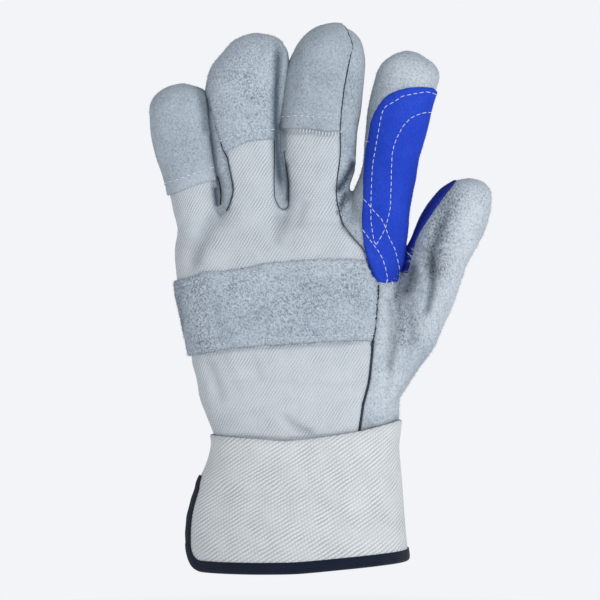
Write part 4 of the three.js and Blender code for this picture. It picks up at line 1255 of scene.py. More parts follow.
# %% Stitches of the caps
LITTLE_CAP_ROW = [(-62.4, 188.2), (-56.6, 189.6), (-51.4, 191.5), (-46.6, 193.4), (-41.8, 195.4)]
RING_CAP_ROW = [(-36.5, 207.8), (-29.8, 209.8), (-24.5, 211.9), (-19.2, 212.9), (-12.5, 213.6)]
MIDDLE_CAP_ROW = [(-6.7, 219.6), (1.0, 219.8), (9.6, 218.9), (18.7, 218.4)]
MIDDLE_CAP_EDGE = [(0, 213.8), (6, 213.4), (12.5, 212.2), (19.6, 212.6)]
grey_stitches = [stitch_row(name, [line], [finger], 2.0, length=1.5, gap=1.2, radius=0.22, lift=0.25)
                 for name, line, finger in (("little_cap_stitches", LITTLE_CAP_ROW, little),
                                            ("ring_cap_stitches", RING_CAP_ROW, ring),
                                            ("middle_cap_stitches", MIDDLE_CAP_ROW, middle))]
yarns_at = np.linspace(1.5, 19.0, 13)
yarns = [[(x, z), (x - 0.3, z - 2.0)] for x, z in zip(yarns_at, height_of(MIDDLE_CAP_EDGE, yarns_at))]
grey_stitches.append(stitch_row("middle_cap_fringe", yarns, [middle], 0.95, length=1.8,
                                radius=0.2, lift=0.15))

# %% [markdown]
# The strap is sewn along both of its edges with a finer thread, which sinks into the nap and shows only
# here and there.

# %% Stitches of the strap
STRAP_TOP_ROW = [
    (-56.6, 138.7), (-47.0, 141.6), (-44.2, 143.0), (-32.6, 143.8), (-23.0, 145.2), (-6.2, 148.1),
    (5.3, 148.8), (20.6, 149.2), (31.7, 148.8),
]
STRAP_LOW_ROW = [
    (-52.8, 110.4), (-42.2, 110.6), (-29.8, 112.8), (-15.4, 113.8), (1.4, 114.7), (17.3, 115.7),
    (34.6, 116.2),
]
grey_stitches.append(stitch_row("knuckle_strap_stitches", [STRAP_TOP_ROW, STRAP_LOW_ROW], [hand], 2.2,
                                length=1.4, gap=1.6, radius=0.17, lift=0.2))

# %% [markdown]
# The shadow in a seam is painted as a dark cord between two pieces: painted shade, not a strip of leather
# that the glove has. Each is a tube along the seam whose thickness wanders, and where the seam passes the
# thick strap the cord climbs up its edge.

# %% A dark cord of painted shade along a seam
SHADOW_CORD_SIDES = 8


def climbing(place, height, beside):
    """Height of a seam's shadow cord off the form in mm: raised by an extra where it runs beside a thick
    piece.
    """
    climb = np.full(len(place), float(height))
    if beside:
        low, high, extra = beside
        up = place[:, 2] / MM
        climb += extra * np.clip(np.minimum(up - low, high - up) / 2 + 1, 0, 1)
    return climb


def seam(name, line, tubes, radius, height=0.35, wander=0.2, beside=None):
    """A dark cord along a line, painted shade for the shadow in a seam. beside is the stretch of heights, in
    mm, where it climbs the edge of a thick piece, and how far it climbs."""
    place, normal = on_back(tubes, finely(np.array(line) * MM, 0.0006, closed=False))
    for _ in range(6):
        place[1:-1] = (place[:-2] + place[1:-1] * 2 + place[2:]) / 4
    swell = 1 + wander * soft_noise(place, 0.004, 3.0)
    core = place + normal * (climbing(place, height, beside) * MM)[:, None]
    last = len(core) - 1
    verts = []
    for i in range(len(core)):
        tangent = core[min(i + 1, last)] - core[max(i - 1, 0)]
        tangent /= np.linalg.norm(tangent)
        size = radius * MM * swell[i] * (0.35 if i in (0, last) else 1.0)
        verts += round_section(core[i], tangent, normal[i], size, SHADOW_CORD_SIDES)
    print(name, len(core), "sections")
    return smooth_object(name, verts, loft_faces(len(core), SHADOW_CORD_SIDES))


print("welts have", SHADOW_CORD_SIDES, "sides")

# %% [markdown]
# The thick cord down the thumb side of the hand, the painted shadow gap of the palm seam, is the one that
# shows most. The others outline the canvas between the fingers, where they are thin and half buried.

# %% The painted seam shadows
PALM_SEAM = [
    (38.3, 139.7), (37.7, 134.4), (37.0, 129.1), (35.5, 113.8), (34.8, 105.1), (33.6, 93.6), (30.7, 83.0),
    (29.0, 70.6),
]
KNUCKLE_SEAM = [(19.6, 174.7), (20.9, 169.0), (25.9, 162.5), (30.2, 157.7), (32.2, 154.6)]
MIDDLE_SEAM = [
    (20.0, 212.2), (20.2, 204.5), (19.7, 197.8), (18.6, 191.0), (18.0, 183.4), (18.6, 177.6),
    (20.0, 174.2),
]
MIDDLE_CAP_SEAM = [
    (18.2, 265.1), (21.0, 264.5), (22.7, 262.3), (23.7, 258.9), (25.6, 253.8), (24.4, 248.2),
    (23.3, 242.1), (21.6, 234.0), (21.0, 227.9), (20.0, 220.5), (19.6, 212.6),
]
RING_SEAM = [
    (-41.3, 223.7), (-39.1, 216.6), (-36.7, 208.0), (-35.1, 203.4), (-33.3, 200.1), (-32.4, 195.2),
    (-30.8, 187.2), (-30.5, 183.5), (-32.1, 178.0), (-33.6, 174.7),
]
LITTLE_RING_SEAM = [
    (-43.2, 229.9), (-42.7, 222.7), (-42.0, 214.1), (-40.9, 206.4), (-40.3, 199.7), (-38.9, 193.9),
    (-37.2, 188.2), (-36.5, 182.4), (-37.2, 175.7),
]
RING_SIDE_SEAM = [
    (-11.5, 208.8), (-11.3, 199.7), (-11.5, 190.1), (-11.3, 181.0), (-9.1, 176.4), (-6.7, 175.4),
    (-4.3, 176.4), (-4.2, 187.2), (-5.3, 194.9), (-6.5, 203.5),
]
seam_shadow_cords = [
    seam("palm_seam_shadow", PALM_SEAM, [hand], 0.62, height=0.5, beside=(112.0, 140.0, 1.5)),
    seam("knuckle_seam_shadow", KNUCKLE_SEAM, [hand, middle, index], 0.17),
    seam("middle_finger_seam_shadow", MIDDLE_SEAM, [middle, hand], 0.22),
    seam("middle_cap_seam_shadow", MIDDLE_CAP_SEAM, [middle], 0.4, height=1.0),
    seam("ring_finger_seam_shadow", RING_SEAM, [ring, hand], 0.3, height=0.6),
    seam("little_ring_seam_shadow", LITTLE_RING_SEAM, [little, ring, hand], 0.34, height=0.1),
    seam("ring_side_seam_shadow", RING_SIDE_SEAM, [ring, middle, hand], 0.14),
]

# %% [markdown]
# Split leather has no smooth grain side: its face is a nap of cut fibres. Thousands of hair-thin slivers
# stand off the sheets and give the soft, hairy outline that the thumb, the caps and the strap show. They
# are flat slivers and not hair curves, so every one of them is plain geometry that travels with its
# piece.

# %% Grow fibres
LEAN_DOWN = np.array([0.15, 0, -0.3])


def outer_triangles(mesh):
    """The triangles of a walled mesh's outer face, whose points are the first half."""
    mesh.calc_loop_triangles()
    triangles = np.empty(len(mesh.loop_triangles) * 3, dtype=int)
    mesh.loop_triangles.foreach_get("vertices", triangles)
    triangles = triangles.reshape(-1, 3)
    return triangles, (triangles < len(mesh.vertices) // 2).all(1)


def sliver(root, up, lean, bend_to, side, size):
    """Corners of flat, pointed slivers with one bend, five for each."""
    sunk = root - up * 0.0001
    bend = root + (lean * 0.55 + bend_to * 0.12) * size[:, None]
    tip = root + lean * size[:, None]
    corners = [sunk - side, sunk + side, bend + side * 0.8, bend - side * 0.8, tip]
    return np.stack(corners, 1).reshape(-1, 3)


def fuzz(name, piece, count, long, thick, seed, where=None):
    """Fibres that stand off a piece: how many, how long and thick in mm, and where, as a weight for each
    place."""
    local = np.random.default_rng(seed)
    triangles, outer = outer_triangles(piece.data)
    points = mesh_points(piece.data)
    normals = mesh_normals(piece.data)
    a, b, c = (points[triangles[:, k]] for k in range(3))
    weight = np.linalg.norm(np.cross(b - a, c - a), axis=1) * outer
    if where is not None:
        weight = weight * where((a + b + c) / 3)
    pick = triangles[local.choice(len(triangles), count, p=weight / weight.sum())]
    r1 = np.sqrt(local.random(count))
    r2 = local.random(count)
    mixed = np.c_[1 - r1, r1 * (1 - r2), r1 * r2][:, :, None]
    root = (points[pick] * mixed).sum(1)
    up = (normals[pick] * mixed).sum(1)
    lean = up * 0.5 + local.normal(size=(count, 3)) * 0.5 + LEAN_DOWN
    lean /= np.linalg.norm(lean, axis=1, keepdims=True)
    size = long * MM * (0.35 + local.random(count) ** 2)
    side = np.cross(lean, local.normal(size=(count, 3)))
    side *= thick / 2 * MM / np.linalg.norm(side, axis=1, keepdims=True)
    corners = sliver(root, up, lean, local.normal(size=(count, 3)), side, size)
    first = np.arange(count) * 5
    quads = np.stack([first, first + 1, first + 2, first + 3], 1)
    tips = np.stack([first + 3, first + 2, first + 4], 1)
    print(name, count, "fibres")
    return new_object(name, corners, [*map(tuple, quads), *map(tuple, tips)])


print("fibres lean", LEAN_DOWN)

# %% [markdown]
# The nap isn't even. It is thick where the leather is ruffled, thin on smooth pads and on the palm,
# missing under a patch, and longest in the crook of the thumb, where hands seldom rub it off.

# %% Where the nap stands
THUMB_ROOT = [(52.8, 137.3), (55.2, 145.9), (58.1, 153.6), (61.9, 150.7), (64.8, 145.0)]


def under_pattern(points, pattern):
    """True for the points that a pattern covers on the back of the glove."""
    return inside(points[:, [0, 2]], np.array(pattern) * MM) & (points[:, 1] < 0.002)


def thumb_nap(points):
    """Little nap on the smooth pad, much where it is rubbed up, none on the blue strip."""
    return (0.25 + 2.5 * patches_at(points, RUFFLED)) * ~under_pattern(points, THUMB_PATCH)


def palm_nap(points):
    """Most on the thumb side, where the palm's leather comes round onto the back."""
    return (0.3 + 2.0 * patches_at(points, RUFFLED)) * np.where(points[:, 0] > 0.03, 1.0, 0.25)


def index_nap(points):
    """None under the blue patch."""
    return np.where(under_pattern(points, INDEX_PATCH), 0.0, np.where(points[:, 1] < 0.012, 1.0, 0.25))


def strap_nap(points):
    """Denser at the strap's cut left end."""
    return 1.0 + 3.0 * (points[:, 0] < -0.0545)


def thumb_root_nap(points):
    """Long loose hairs in the crook of the thumb."""
    crook = soft_edge(line_distance(points[:, [0, 2]], THUMB_ROOT), 4)
    return (crook + 1e-6) * (points[:, 1] < 0.004) * ~under_pattern(points, THUMB_PATCH)


print("root hairs grow along", len(THUMB_ROOT), "points")

# %% [markdown]
# Now the fibres grow, longer ones where the leather is coarser: a nap of about 0.5 to 1.1 mm, and hairs of
# about 4 mm at the thumb's root.

# %% The fibres
fibres = [
    fuzz("thumb_fibres", skins["thumb"], 15000, 1.1, 0.13, 11, thumb_nap),
    fuzz("thumb_root_hairs", skins["thumb"], 900, 4.5, 0.17, 21, thumb_root_nap),
    fuzz("palm_root_hairs", skins["palm"], 300, 4.0, 0.16, 22, thumb_root_nap),
    fuzz("palm_fibres", skins["palm"], 14000, 1.1, 0.12, 12, palm_nap),
    fuzz("index_fibres", skins["index"], 6000, 0.7, 0.12, 13, index_nap),
    fuzz("strap_fibres", strap, 16000, 1.0, 0.13, 14, strap_nap),
    fuzz("little_cap_fibres", little_cap, 3500, 0.6, 0.12, 15),
    fuzz("ring_cap_fibres", ring_cap, 6000, 0.8, 0.13, 16),
    fuzz("middle_cap_fibres", middle_cap, 3500, 0.6, 0.12, 17),
]
index_patch_fibres = fuzz("index_patch_fibres", index_patch, 6000, 0.5, 0.11, 18)
thumb_patch_fibres = fuzz("thumb_patch_fibres", thumb_patch, 1500, 0.5, 0.11, 19)

# %% [markdown]
# Every look is made by material nodes, so it travels with the piece. Two effects are shared by several
# materials: the nap of split leather and the ribs of a twill weave. Each is a node group that puts out
# plain masks, and every material colours them in its own way. First the helpers that the groups are
# written with.

# %% Node helpers
def group(name, inputs, outputs):
    """A node group with named sockets, and its own input and output nodes."""
    tree = bpy.data.node_groups.new(name, 'ShaderNodeTree')
    for label, kind, value in inputs:
        socket = tree.interface.new_socket(label, in_out='INPUT', socket_type=kind)
        if value is not None:
            socket.default_value = value
    for label, kind in outputs:
        tree.interface.new_socket(label, in_out='OUTPUT', socket_type=kind)
    return tree, tree.nodes.new('NodeGroupInput'), tree.nodes.new('NodeGroupOutput')


def math_node(tree, op, a, b=None, c=None, clamp=False):
    """A sum of numbers or sockets."""
    node = tree.nodes.new('ShaderNodeMath')
    node.operation = op
    node.use_clamp = clamp
    for slot, value in enumerate((a, b, c)):
        if isinstance(value, (int, float)):
            node.inputs[slot].default_value = value
        elif value is not None:
            tree.links.new(value, node.inputs[slot])
    return node.outputs[0]


def noise_node(tree, vector, scale, detail, rough, stretch=None):
    """Soft random values from 0 to 1; scale is how many blotches fit in a metre."""
    if stretch:
        mapping = tree.nodes.new('ShaderNodeMapping')
        mapping.inputs['Scale'].default_value = stretch
        tree.links.new(vector, mapping.inputs['Vector'])
        vector = mapping.outputs[0]
    noise = tree.nodes.new('ShaderNodeTexNoise')
    noise.inputs['Scale'].default_value = scale
    noise.inputs['Detail'].default_value = detail
    noise.inputs['Roughness'].default_value = rough
    tree.links.new(vector, noise.inputs['Vector'])
    return noise.outputs['Fac']


print("node helpers ready")

# %% [markdown]
# The nap of split leather is three sizes of unevenness on top of each other: slow blotches, tufts with
# dark pits between them, and a fine grain. Where the leather is ruffled the tufts and the grain grow
# stronger.

# %% The nap
def nap_group():
    """Split leather: slow blotches, tufts with dark pits between them, and a fine fibre grain."""
    g, given, result = group("suede_nap",
                             [("Place", 'NodeSocketVector', None), ("Grain", 'NodeSocketFloat', 1.0),
                              ("Ruffled", 'NodeSocketFloat', 0.0)],
                             [("Shade", 'NodeSocketFloat'), ("Height", 'NodeSocketFloat')])
    place = given.outputs['Place']
    grain = math_node(g, 'MULTIPLY_ADD', given.outputs['Ruffled'], 0.8, given.outputs['Grain'])
    cloud = math_node(g, 'SUBTRACT', noise_node(g, place, 60, 4, 0.6), 0.5)
    tufts = noise_node(g, place, 1250, 2, 0.6, stretch=(1.0, 1.0, 0.75))
    specks = math_node(g, 'SUBTRACT', noise_node(g, place, 2600, 2, 0.6), 0.5)
    pits = math_node(g, 'MULTIPLY', math_node(g, 'SUBTRACT', 0.52, tufts), 3.2, clamp=True)
    tips = math_node(g, 'MULTIPLY', math_node(g, 'SUBTRACT', tufts, 0.48), 3.2, clamp=True)
    relief = math_node(g, 'MULTIPLY_ADD', pits, -0.25, math_node(g, 'MULTIPLY', tips, 0.17))
    relief = math_node(g, 'MULTIPLY_ADD', specks, 0.5, relief)
    relief = math_node(g, 'MULTIPLY', relief, grain)
    shade = math_node(g, 'ADD', math_node(g, 'MULTIPLY_ADD', cloud, 0.18, 0.5), relief)
    g.links.new(shade, result.inputs['Shade'])
    g.links.new(math_node(g, 'ADD', relief, 0.5), result.inputs['Height'])
    return g


NAP = nap_group()
print("nap group has", len(NAP.nodes), "nodes")

# %% [markdown]
# Twill shows slanting ribs, and every rib is a row of yarn floats. The ribs are a wave across the cloth,
# cut into floats by a second wave along it that steps on from rib to rib. Real cloth isn't even, so the
# ribs wobble, fade where the cloth is worn and carry a little roughness.

# %% The weave
FULL_TURN = 6.2832


def twill_group():
    """Ribs at an angle, with a pitch in metres."""
    g, given, result = group("twill_weave",
                             [("Cloth", 'NodeSocketVector', None), ("Angle", 'NodeSocketFloat', 1.0),
                              ("Pitch", 'NodeSocketFloat', 0.0013), ("Wobble", 'NodeSocketFloat', 0.0004)],
                             [("Rib", 'NodeSocketFloat'), ("Yarn", 'NodeSocketFloat'),
                              ("Cloud", 'NodeSocketFloat')])
    cloth = given.outputs['Cloth']
    parts = g.nodes.new('ShaderNodeSeparateXYZ')
    g.links.new(cloth, parts.inputs[0])
    cosine = math_node(g, 'COSINE', given.outputs['Angle'])
    sine = math_node(g, 'SINE', given.outputs['Angle'])
    x, y = parts.outputs[0], parts.outputs[1]
    crossing = math_node(g, 'SUBTRACT', math_node(g, 'MULTIPLY', x, sine),
                         math_node(g, 'MULTIPLY', y, cosine))
    along = math_node(g, 'ADD', math_node(g, 'MULTIPLY', x, cosine), math_node(g, 'MULTIPLY', y, sine))
    slow = noise_node(g, cloth, 160, 2, 0.5)
    shift = math_node(g, 'MULTIPLY', math_node(g, 'SUBTRACT', slow, 0.5), given.outputs['Wobble'])
    crossing = math_node(g, 'ADD', crossing, shift)
    turns = math_node(g, 'DIVIDE', crossing, given.outputs['Pitch'])
    wave = math_node(g, 'SINE', math_node(g, 'MULTIPLY', turns, FULL_TURN))
    rib = math_node(g, 'POWER', math_node(g, 'MULTIPLY_ADD', wave, 0.5, 0.5), 0.7)
    worn = noise_node(g, cloth, 110, 3, 0.6)
    worn = math_node(g, 'MULTIPLY_ADD', math_node(g, 'SUBTRACT', worn, 0.36), 3.2, 0.0, clamp=True)
    worn = math_node(g, 'MULTIPLY_ADD', worn, 0.85, 0.4)
    rib = math_node(g, 'MULTIPLY_ADD', math_node(g, 'SUBTRACT', rib, 0.6), worn, 0.6)
    cell = math_node(g, 'FLOOR', turns)
    beat = math_node(g, 'ADD', math_node(g, 'DIVIDE', along, given.outputs['Pitch']),
                     math_node(g, 'MULTIPLY', cell, 0.37))
    yarn = math_node(g, 'SINE', math_node(g, 'MULTIPLY', beat, FULL_TURN))
    yarn = math_node(g, 'MULTIPLY_ADD', yarn, 0.5, 0.5)
    rough = noise_node(g, cloth, 2200, 2, 0.6)
    rib = math_node(g, 'MULTIPLY', rib, math_node(g, 'MULTIPLY_ADD', yarn, 0.42, 0.58))
    rib = math_node(g, 'ADD', rib, math_node(g, 'MULTIPLY', math_node(g, 'SUBTRACT', rough, 0.5), 0.8))
    g.links.new(rib, result.inputs['Rib'])
    g.links.new(yarn, result.inputs['Yarn'])
    g.links.new(noise_node(g, cloth, 90, 4, 0.6), result.inputs['Cloud'])
    return g


TWILL = twill_group()
print("weave group has", len(TWILL.nodes), "nodes")

# %% [markdown]
# Colours are written as they look on a screen, because that is how they were matched to a picture. All the
# materials are rough and a little furry, with hardly any shine, so they start from one base.

# %% A material's base
def linear(r, g, b):
    """A colour as seen on screen (0 to 255) turned into the linear values that shaders use."""
    def f(c):
        c = c / 255
        return c / 12.92 if c <= 0.04045 else ((c + 0.055) / 1.055) ** 2.4
    return (f(r), f(g), f(b), 1.0)


def material(name, rough, sheen, sheen_tint=(1, 1, 1, 1)):
    """A new material, its nodes and its shader."""
    made = bpy.data.materials.new(name)
    made.use_nodes = True
    shader = made.node_tree.nodes['Principled BSDF']
    shader.inputs['Roughness'].default_value = rough
    shader.inputs['Specular IOR Level'].default_value = 0.15
    shader.inputs['Sheen Weight'].default_value = sheen
    shader.inputs['Sheen Roughness'].default_value = 0.5
    shader.inputs['Sheen Tint'].default_value = sheen_tint
    return made, made.node_tree, shader


def ramp(tree, value, stops):
    """A value turned into a colour, by stops of a position and a colour."""
    node = tree.nodes.new('ShaderNodeValToRGB')
    marks = node.color_ramp.elements
    marks[0].position, marks[0].color = stops[0]
    marks[1].position, marks[1].color = stops[-1]
    for position, colour in stops[1:-1]:
        mark = marks.new(position)
        mark.color = colour
    tree.links.new(value, node.inputs[0])
    return node.outputs[0]


def bump(tree, shader, height, distance):
    """Fine relief, up to a distance in metres."""
    relief = tree.nodes.new('ShaderNodeBump')
    relief.inputs['Distance'].default_value = distance
    relief.inputs['Strength'].default_value = 1.0
    tree.links.new(height, relief.inputs['Height'])
    tree.links.new(relief.outputs[0], shader.inputs['Normal'])


print("mid grey on screen is", round(linear(128, 128, 128)[0], 3), "in a shader")

# %% [markdown]
# The marks that were put on the points earlier, painted shade, wear with painted light, and ruffled nap, are
# read here. Painted shade in a crease, between fingers or by a seam multiplies the colour by a cool grey,
# and the paler places, worn and painted light, blend towards the paler shades.

# %% Marks on the material
def point_value(tree, name):
    """A value stored on the points of the mesh."""
    marks = tree.nodes.new('ShaderNodeAttribute')
    marks.attribute_name = name
    return marks.outputs['Fac']


def blended(tree, amount, first, second, mode='MIX'):
    """Two colours mixed by an amount; the second may be a plain colour."""
    mix = tree.nodes.new('ShaderNodeMix')
    mix.data_type = 'RGBA'
    mix.blend_type = mode
    tree.links.new(amount, mix.inputs[0])
    tree.links.new(first, mix.inputs['A'])
    if isinstance(second, tuple):
        mix.inputs['B'].default_value = second
    else:
        tree.links.new(second, mix.inputs['B'])
    return mix.outputs['Result']


def painted_shade(tree, colour, into=(0.13, 0.17, 0.22, 1)):
    """The colour with the piece's painted shade worked in, multiplied towards a cool grey."""
    amount = math_node(tree, 'MULTIPLY', point_value(tree, "shade"), 1.0, clamp=True)
    return blended(tree, amount, colour, into, 'MULTIPLY')


print("marks are read from the points")

# %% [markdown]
# Split leather takes three shades from dark pits to light tufts, and a second three for the paler places,
# rubbed pale and painted light. The little and middle caps are smoother than the strap, and the blue patches
# are smoother still.

# %% Split leather
def split_leather(name, shades, paler_shades=None, grain=1.0, lie=0.0, sheen=0.2, depth=0.0006, spread=0.16):
    """Split leather in three shades, dark to light; paler_shades are those of the paler places, rubbed pale
    and painted light, and lie is the way that its nap leans."""
    made, tree, shader = material(name, 0.95, sheen, shades[1])
    place = tree.nodes.new('ShaderNodeTexCoord').outputs['Object']
    turned = tree.nodes.new('ShaderNodeMapping')
    turned.inputs['Rotation'].default_value = (0.0, lie, 0.0)
    tree.links.new(place, turned.inputs['Vector'])
    nap = tree.nodes.new('ShaderNodeGroup')
    nap.node_tree = NAP
    tree.links.new(turned.outputs[0], nap.inputs['Place'])
    nap.inputs['Grain'].default_value = grain
    tree.links.new(point_value(tree, "ruffled"), nap.inputs['Ruffled'])
    places = (0.5 - spread, 0.5, 0.5 + spread)
    colour = ramp(tree, nap.outputs['Shade'], list(zip(places, shades)))
    if paler_shades:
        pale = ramp(tree, nap.outputs['Shade'], list(zip(places, paler_shades)))
        # The worn mark blends towards the paler shades: nap rubbed pale, and painted light on the thumb's
        # lit side.
        colour = blended(tree, point_value(tree, "worn"), colour, pale)
    # Painted shade from the shade mark darkens the leather.
    tree.links.new(painted_shade(tree, colour), shader.inputs['Base Color'])
    bump(tree, shader, nap.outputs['Height'], depth)
    return made


GREY = (linear(100, 113, 126), linear(163, 174, 183), linear(194, 203, 210))
ROUGH_GREY = (linear(116, 128, 141), linear(173, 184, 194), linear(202, 211, 219))
PALE_LEATHER = (linear(126, 138, 150), linear(193, 202, 209), linear(213, 221, 228))
BLUE = (linear(22, 46, 150), linear(34, 66, 186), linear(56, 90, 208))
# A darker copy of the blue for the thumb's strip: painted shade for the shadow that strip lies in.
PAINTED_SHADE_BLUE = (linear(16, 28, 100), linear(26, 42, 134), linear(44, 66, 160))
# Dark grey for the cords that paint the shadow in the seams.
SEAM_SHADOW_GREY = (linear(30, 36, 44), linear(50, 58, 68), linear(84, 94, 106))
skin_leather = split_leather("grey_leather_skin", GREY, PALE_LEATHER, grain=0.5, lie=-0.2)
smooth_leather = split_leather("grey_leather_smooth", GREY, grain=0.4, lie=0.1)
grainy_leather = split_leather("grey_leather_grainy", ROUGH_GREY, grain=0.62, lie=0.5)
blue_leather = split_leather("blue_split_leather", BLUE, grain=0.25, sheen=0.05, depth=0.0003)
painted_shade_blue_leather = split_leather("blue_split_leather_painted_shade", PAINTED_SHADE_BLUE, grain=0.25, sheen=0.05, depth=0.0003)
painted_seam_shadow = split_leather("painted_seam_shadow", SEAM_SHADOW_GREY, grain=0.4)
print(len(bpy.data.materials), "materials so far")

# %% [markdown]
# Three cloths share the weave: the canvas with steep ribs, the cuff with flatter and wider ribs, and the
# navy tape, whose fine ribs run along it.

# %% Cloth
def twill(name, dark, light, angle, pitch, wobble, depth, rough=0.9):
    """Cloth in two shades; angle, pitch and wobble are those of its ribs."""
    made, tree, shader = material(name, rough, 0.1)
    cloth = tree.nodes.new('ShaderNodeUVMap')
    cloth.uv_map = "cloth"
    weave = tree.nodes.new('ShaderNodeGroup')
    weave.node_tree = TWILL
    tree.links.new(cloth.outputs[0], weave.inputs['Cloth'])
    weave.inputs['Angle'].default_value = angle
    weave.inputs['Pitch'].default_value = pitch
    weave.inputs['Wobble'].default_value = wobble
    ribs = math_node(tree, 'MULTIPLY', weave.outputs['Rib'], 0.55)
    shade = math_node(tree, 'MULTIPLY_ADD', weave.outputs['Cloud'], 0.3, ribs)
    colour = ramp(tree, shade, [(0.08, dark), (0.7, light)])
    # The worn mark blends the cloth paler: mostly painted light on the lower canvas.
    wear_and_light = math_node(tree, 'MULTIPLY', point_value(tree, "worn"), 0.6)
    # Painted shade from the shade mark darkens the cloth.
    colour = blended(tree, wear_and_light, colour, light)
    tree.links.new(painted_shade(tree, colour), shader.inputs['Base Color'])
    bump(tree, shader, weave.outputs['Rib'], depth)
    return made


canvas_cloth = twill("canvas_twill", linear(157, 165, 173), linear(208, 214, 219), 1.03, 0.0013, 0.0013,
                     0.00022)
cuff_cloth = twill("cuff_twill", linear(162, 168, 171), linear(226, 229, 231), 0.52, 0.0017, 0.0010,
                   0.00022)
navy = twill("binding_tape", linear(3, 8, 22), linear(22, 36, 58), 0.0, 0.0009, 0.0002, 0.0003, 0.8)


print("cloths:", canvas_cloth.name, cuff_cloth.name, navy.name)

# %% [markdown]
# Thread is twisted yarn, so its shade flickers finely along it.

# %% Thread
def thread(name, dark, light):
    """Sewing thread between two shades."""
    made, tree, shader = material(name, 0.8, 0.1)
    place = tree.nodes.new('ShaderNodeTexCoord').outputs['Object']
    twist = noise_node(tree, place, 2500, 2, 0.6)
    tree.links.new(ramp(tree, twist, [(0.3, dark), (0.7, light)]), shader.inputs['Base Color'])
    bump(tree, shader, twist, 0.0001)
    return made


white_thread = thread("white_thread", linear(190, 198, 210), linear(238, 242, 248))
grey_thread = thread("grey_thread", linear(190, 197, 206), linear(238, 242, 248))

print("threads:", white_thread.name, grey_thread.name)

# %% [markdown]
# Each piece now gets its material and its marks. It also says which body it moves with, here always the
# root.

# %% Dress the pieces
def dress(piece, finish):
    """A piece's material, its marks of painted shade, painted light and worn and ruffled nap, and the body
    it moves with.
    """
    mark_wear_and_painted_light(piece)
    piece.data.materials.clear()
    piece.data.materials.append(finish)
    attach(piece, "root")


finishes = {
    skin_leather: [*skins.values(), *fibres],
    smooth_leather: [little_cap, middle_cap],
    grainy_leather: [ring_cap, strap],
    painted_seam_shadow: seam_shadow_cords,
}
for finish, pieces in finishes.items():
    for piece in pieces:
        dress(piece, finish)
dress(index_patch, blue_leather)
# The thumb's blue strip and its fibres take the darker blue: painted shade.
dress(thumb_patch, painted_shade_blue_leather)
dress(index_patch_fibres, blue_leather)
dress(thumb_patch_fibres, painted_shade_blue_leather)
dress(canvas, canvas_cloth)
dress(cuff, cuff_cloth)
dress(tape, navy)
dress(white_stitches, white_thread)
for piece in grey_stitches:
    dress(piece, grey_thread)
print(len(bpy.data.materials), "materials in use")

# %% [markdown]
# Each finished piece stands in for the plain solid of the same cut, so none of the plain solids is left
# to see.

# %% What the pieces replace
for key, skin in skins.items():
    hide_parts(key + "_leather")
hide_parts("back_canvas")
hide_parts("little_cap")
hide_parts("ring_cap")
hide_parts("middle_cap")
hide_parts("knuckle_strap")
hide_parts("index_patch")
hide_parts("thumb_patch")
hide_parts("cuff")
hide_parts("cuff_binding")
print("every plain solid has its finished piece")

# %% [markdown]

# %% [markdown]
# The glove is seen against an even pale wall, but is lit by a slightly bluer and dimmer dome. A light
# path lets the camera see the one and the pieces feel the other.

# %% The backdrop
PALE = (0.895, 0.905, 0.94)
bpy.context.scene.view_settings.view_transform = 'Standard'
world = bpy.data.worlds.new("studio")
bpy.context.scene.world = world
world.use_nodes = True
wt = world.node_tree
backdrop = wt.nodes['Background']
backdrop.inputs[0].default_value = (*PALE, 1)
dome = wt.nodes.new('ShaderNodeBackground')
dome.inputs[0].default_value = (0.93, 0.95, 1.0, 1)
dome.inputs[1].default_value = 0.52
seen = wt.nodes.new('ShaderNodeLightPath')
either = wt.nodes.new('ShaderNodeMixShader')
wt.links.new(seen.outputs['Is Camera Ray'], either.inputs[0])
wt.links.new(dome.outputs[0], either.inputs[1])
wt.links.new(backdrop.outputs[0], either.inputs[2])
wt.links.new(either.outputs[0], wt.nodes['World Output'].inputs['Surface'])
print("backdrop", PALE)

# %% [markdown]
# The floor lies well below the glove, so nothing rests on it. It takes shadow near the glove and melts
# into the wall further off, which leaves no horizon.

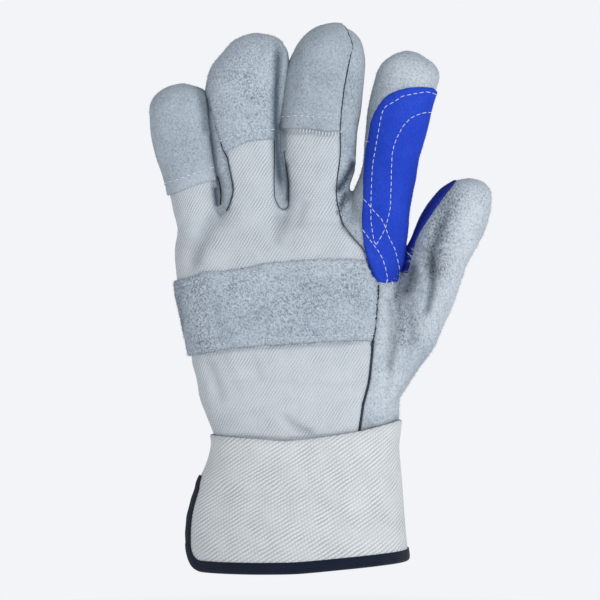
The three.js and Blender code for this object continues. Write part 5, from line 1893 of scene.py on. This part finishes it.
# %% The floor
FLOOR_LEVEL = -0.05
FLOOR_RADIUS = 4
FLOOR_SIDES = 96
verts = [(0.0, 0.0, FLOOR_LEVEL)]
verts += [(FLOOR_RADIUS * math.cos(a), FLOOR_RADIUS * math.sin(a), FLOOR_LEVEL)
          for a in np.linspace(0, 2 * math.pi, FLOOR_SIDES, endpoint=False)]
floor = new_object("floor", verts, [(0, 1 + i, 1 + (i + 1) % FLOOR_SIDES) for i in range(FLOOR_SIDES)])
pale = bpy.data.materials.new("pale_floor")
pale.use_nodes = True
tree = pale.node_tree
shader = tree.nodes['Principled BSDF']
shader.inputs['Base Color'].default_value = (0.88, 0.885, 0.9, 1)
shader.inputs['Roughness'].default_value = 0.9
shader.inputs['Specular IOR Level'].default_value = 0.1
glow = tree.nodes.new('ShaderNodeEmission')
glow.inputs[0].default_value = (*PALE, 1)
mix = tree.nodes.new('ShaderNodeMixShader')
place = tree.nodes.new('ShaderNodeTexCoord').outputs['Object']
far = tree.nodes.new('ShaderNodeVectorMath')
far.operation = 'LENGTH'
tree.links.new(place, far.inputs[0])
fade = tree.nodes.new('ShaderNodeMapRange')
fade.inputs['From Min'].default_value = 0.07
fade.inputs['From Max'].default_value = 0.36
tree.links.new(far.outputs['Value'], fade.inputs['Value'])
tree.links.new(fade.outputs[0], mix.inputs[0])
tree.links.new(shader.outputs[0], mix.inputs[1])
tree.links.new(glow.outputs[0], mix.inputs[2])
tree.links.new(mix.outputs[0], tree.nodes['Material Output'].inputs['Surface'])
floor.data.materials.append(pale)
print("floor", FLOOR_RADIUS * 2, "m across")

# %% [markdown]
# Two large soft lamps light the front, the stronger one from the thumb side, so folds and nap throw faint
# shadows to the left.

# %% The lamps
def soft_light(name, place, size, watts):
    """A square lamp that faces the middle of the glove."""
    data = bpy.data.lights.new(name, 'AREA')
    data.shape = 'RECTANGLE'
    data.size = size
    data.size_y = size
    data.energy = watts
    lamp = bpy.data.objects.new(name, data)
    bpy.context.scene.collection.objects.link(lamp)
    lamp.location = place
    aim = Vector((0.0, 0.0, 0.13)) - Vector(place)
    lamp.rotation_euler = aim.to_track_quat('-Z', 'Y').to_euler()


soft_light("key", (0.95, -1.25, 0.35), 0.8, 14)
soft_light("fill", (-1.1, -1.2, 0.1), 1.0, 5)
print(len(bpy.data.lights), "lamps")

# %% [markdown]
# A long lens stands level with the middle of the glove and straight in front of it, so the outline is
# hardly changed by perspective.

# %% The camera

camera_data = bpy.data.cameras.new("camera")
camera_data.sensor_width = 36
camera_data.lens = 150
camera = bpy.data.objects.new("camera", camera_data)
bpy.context.scene.collection.objects.link(camera)
camera.location = (0.00096, -1.2, 0.13248)
camera.rotation_euler = (math.pi / 2, 0, 0)
bpy.context.scene.camera = camera
print("camera lens", camera_data.lens, "mm")
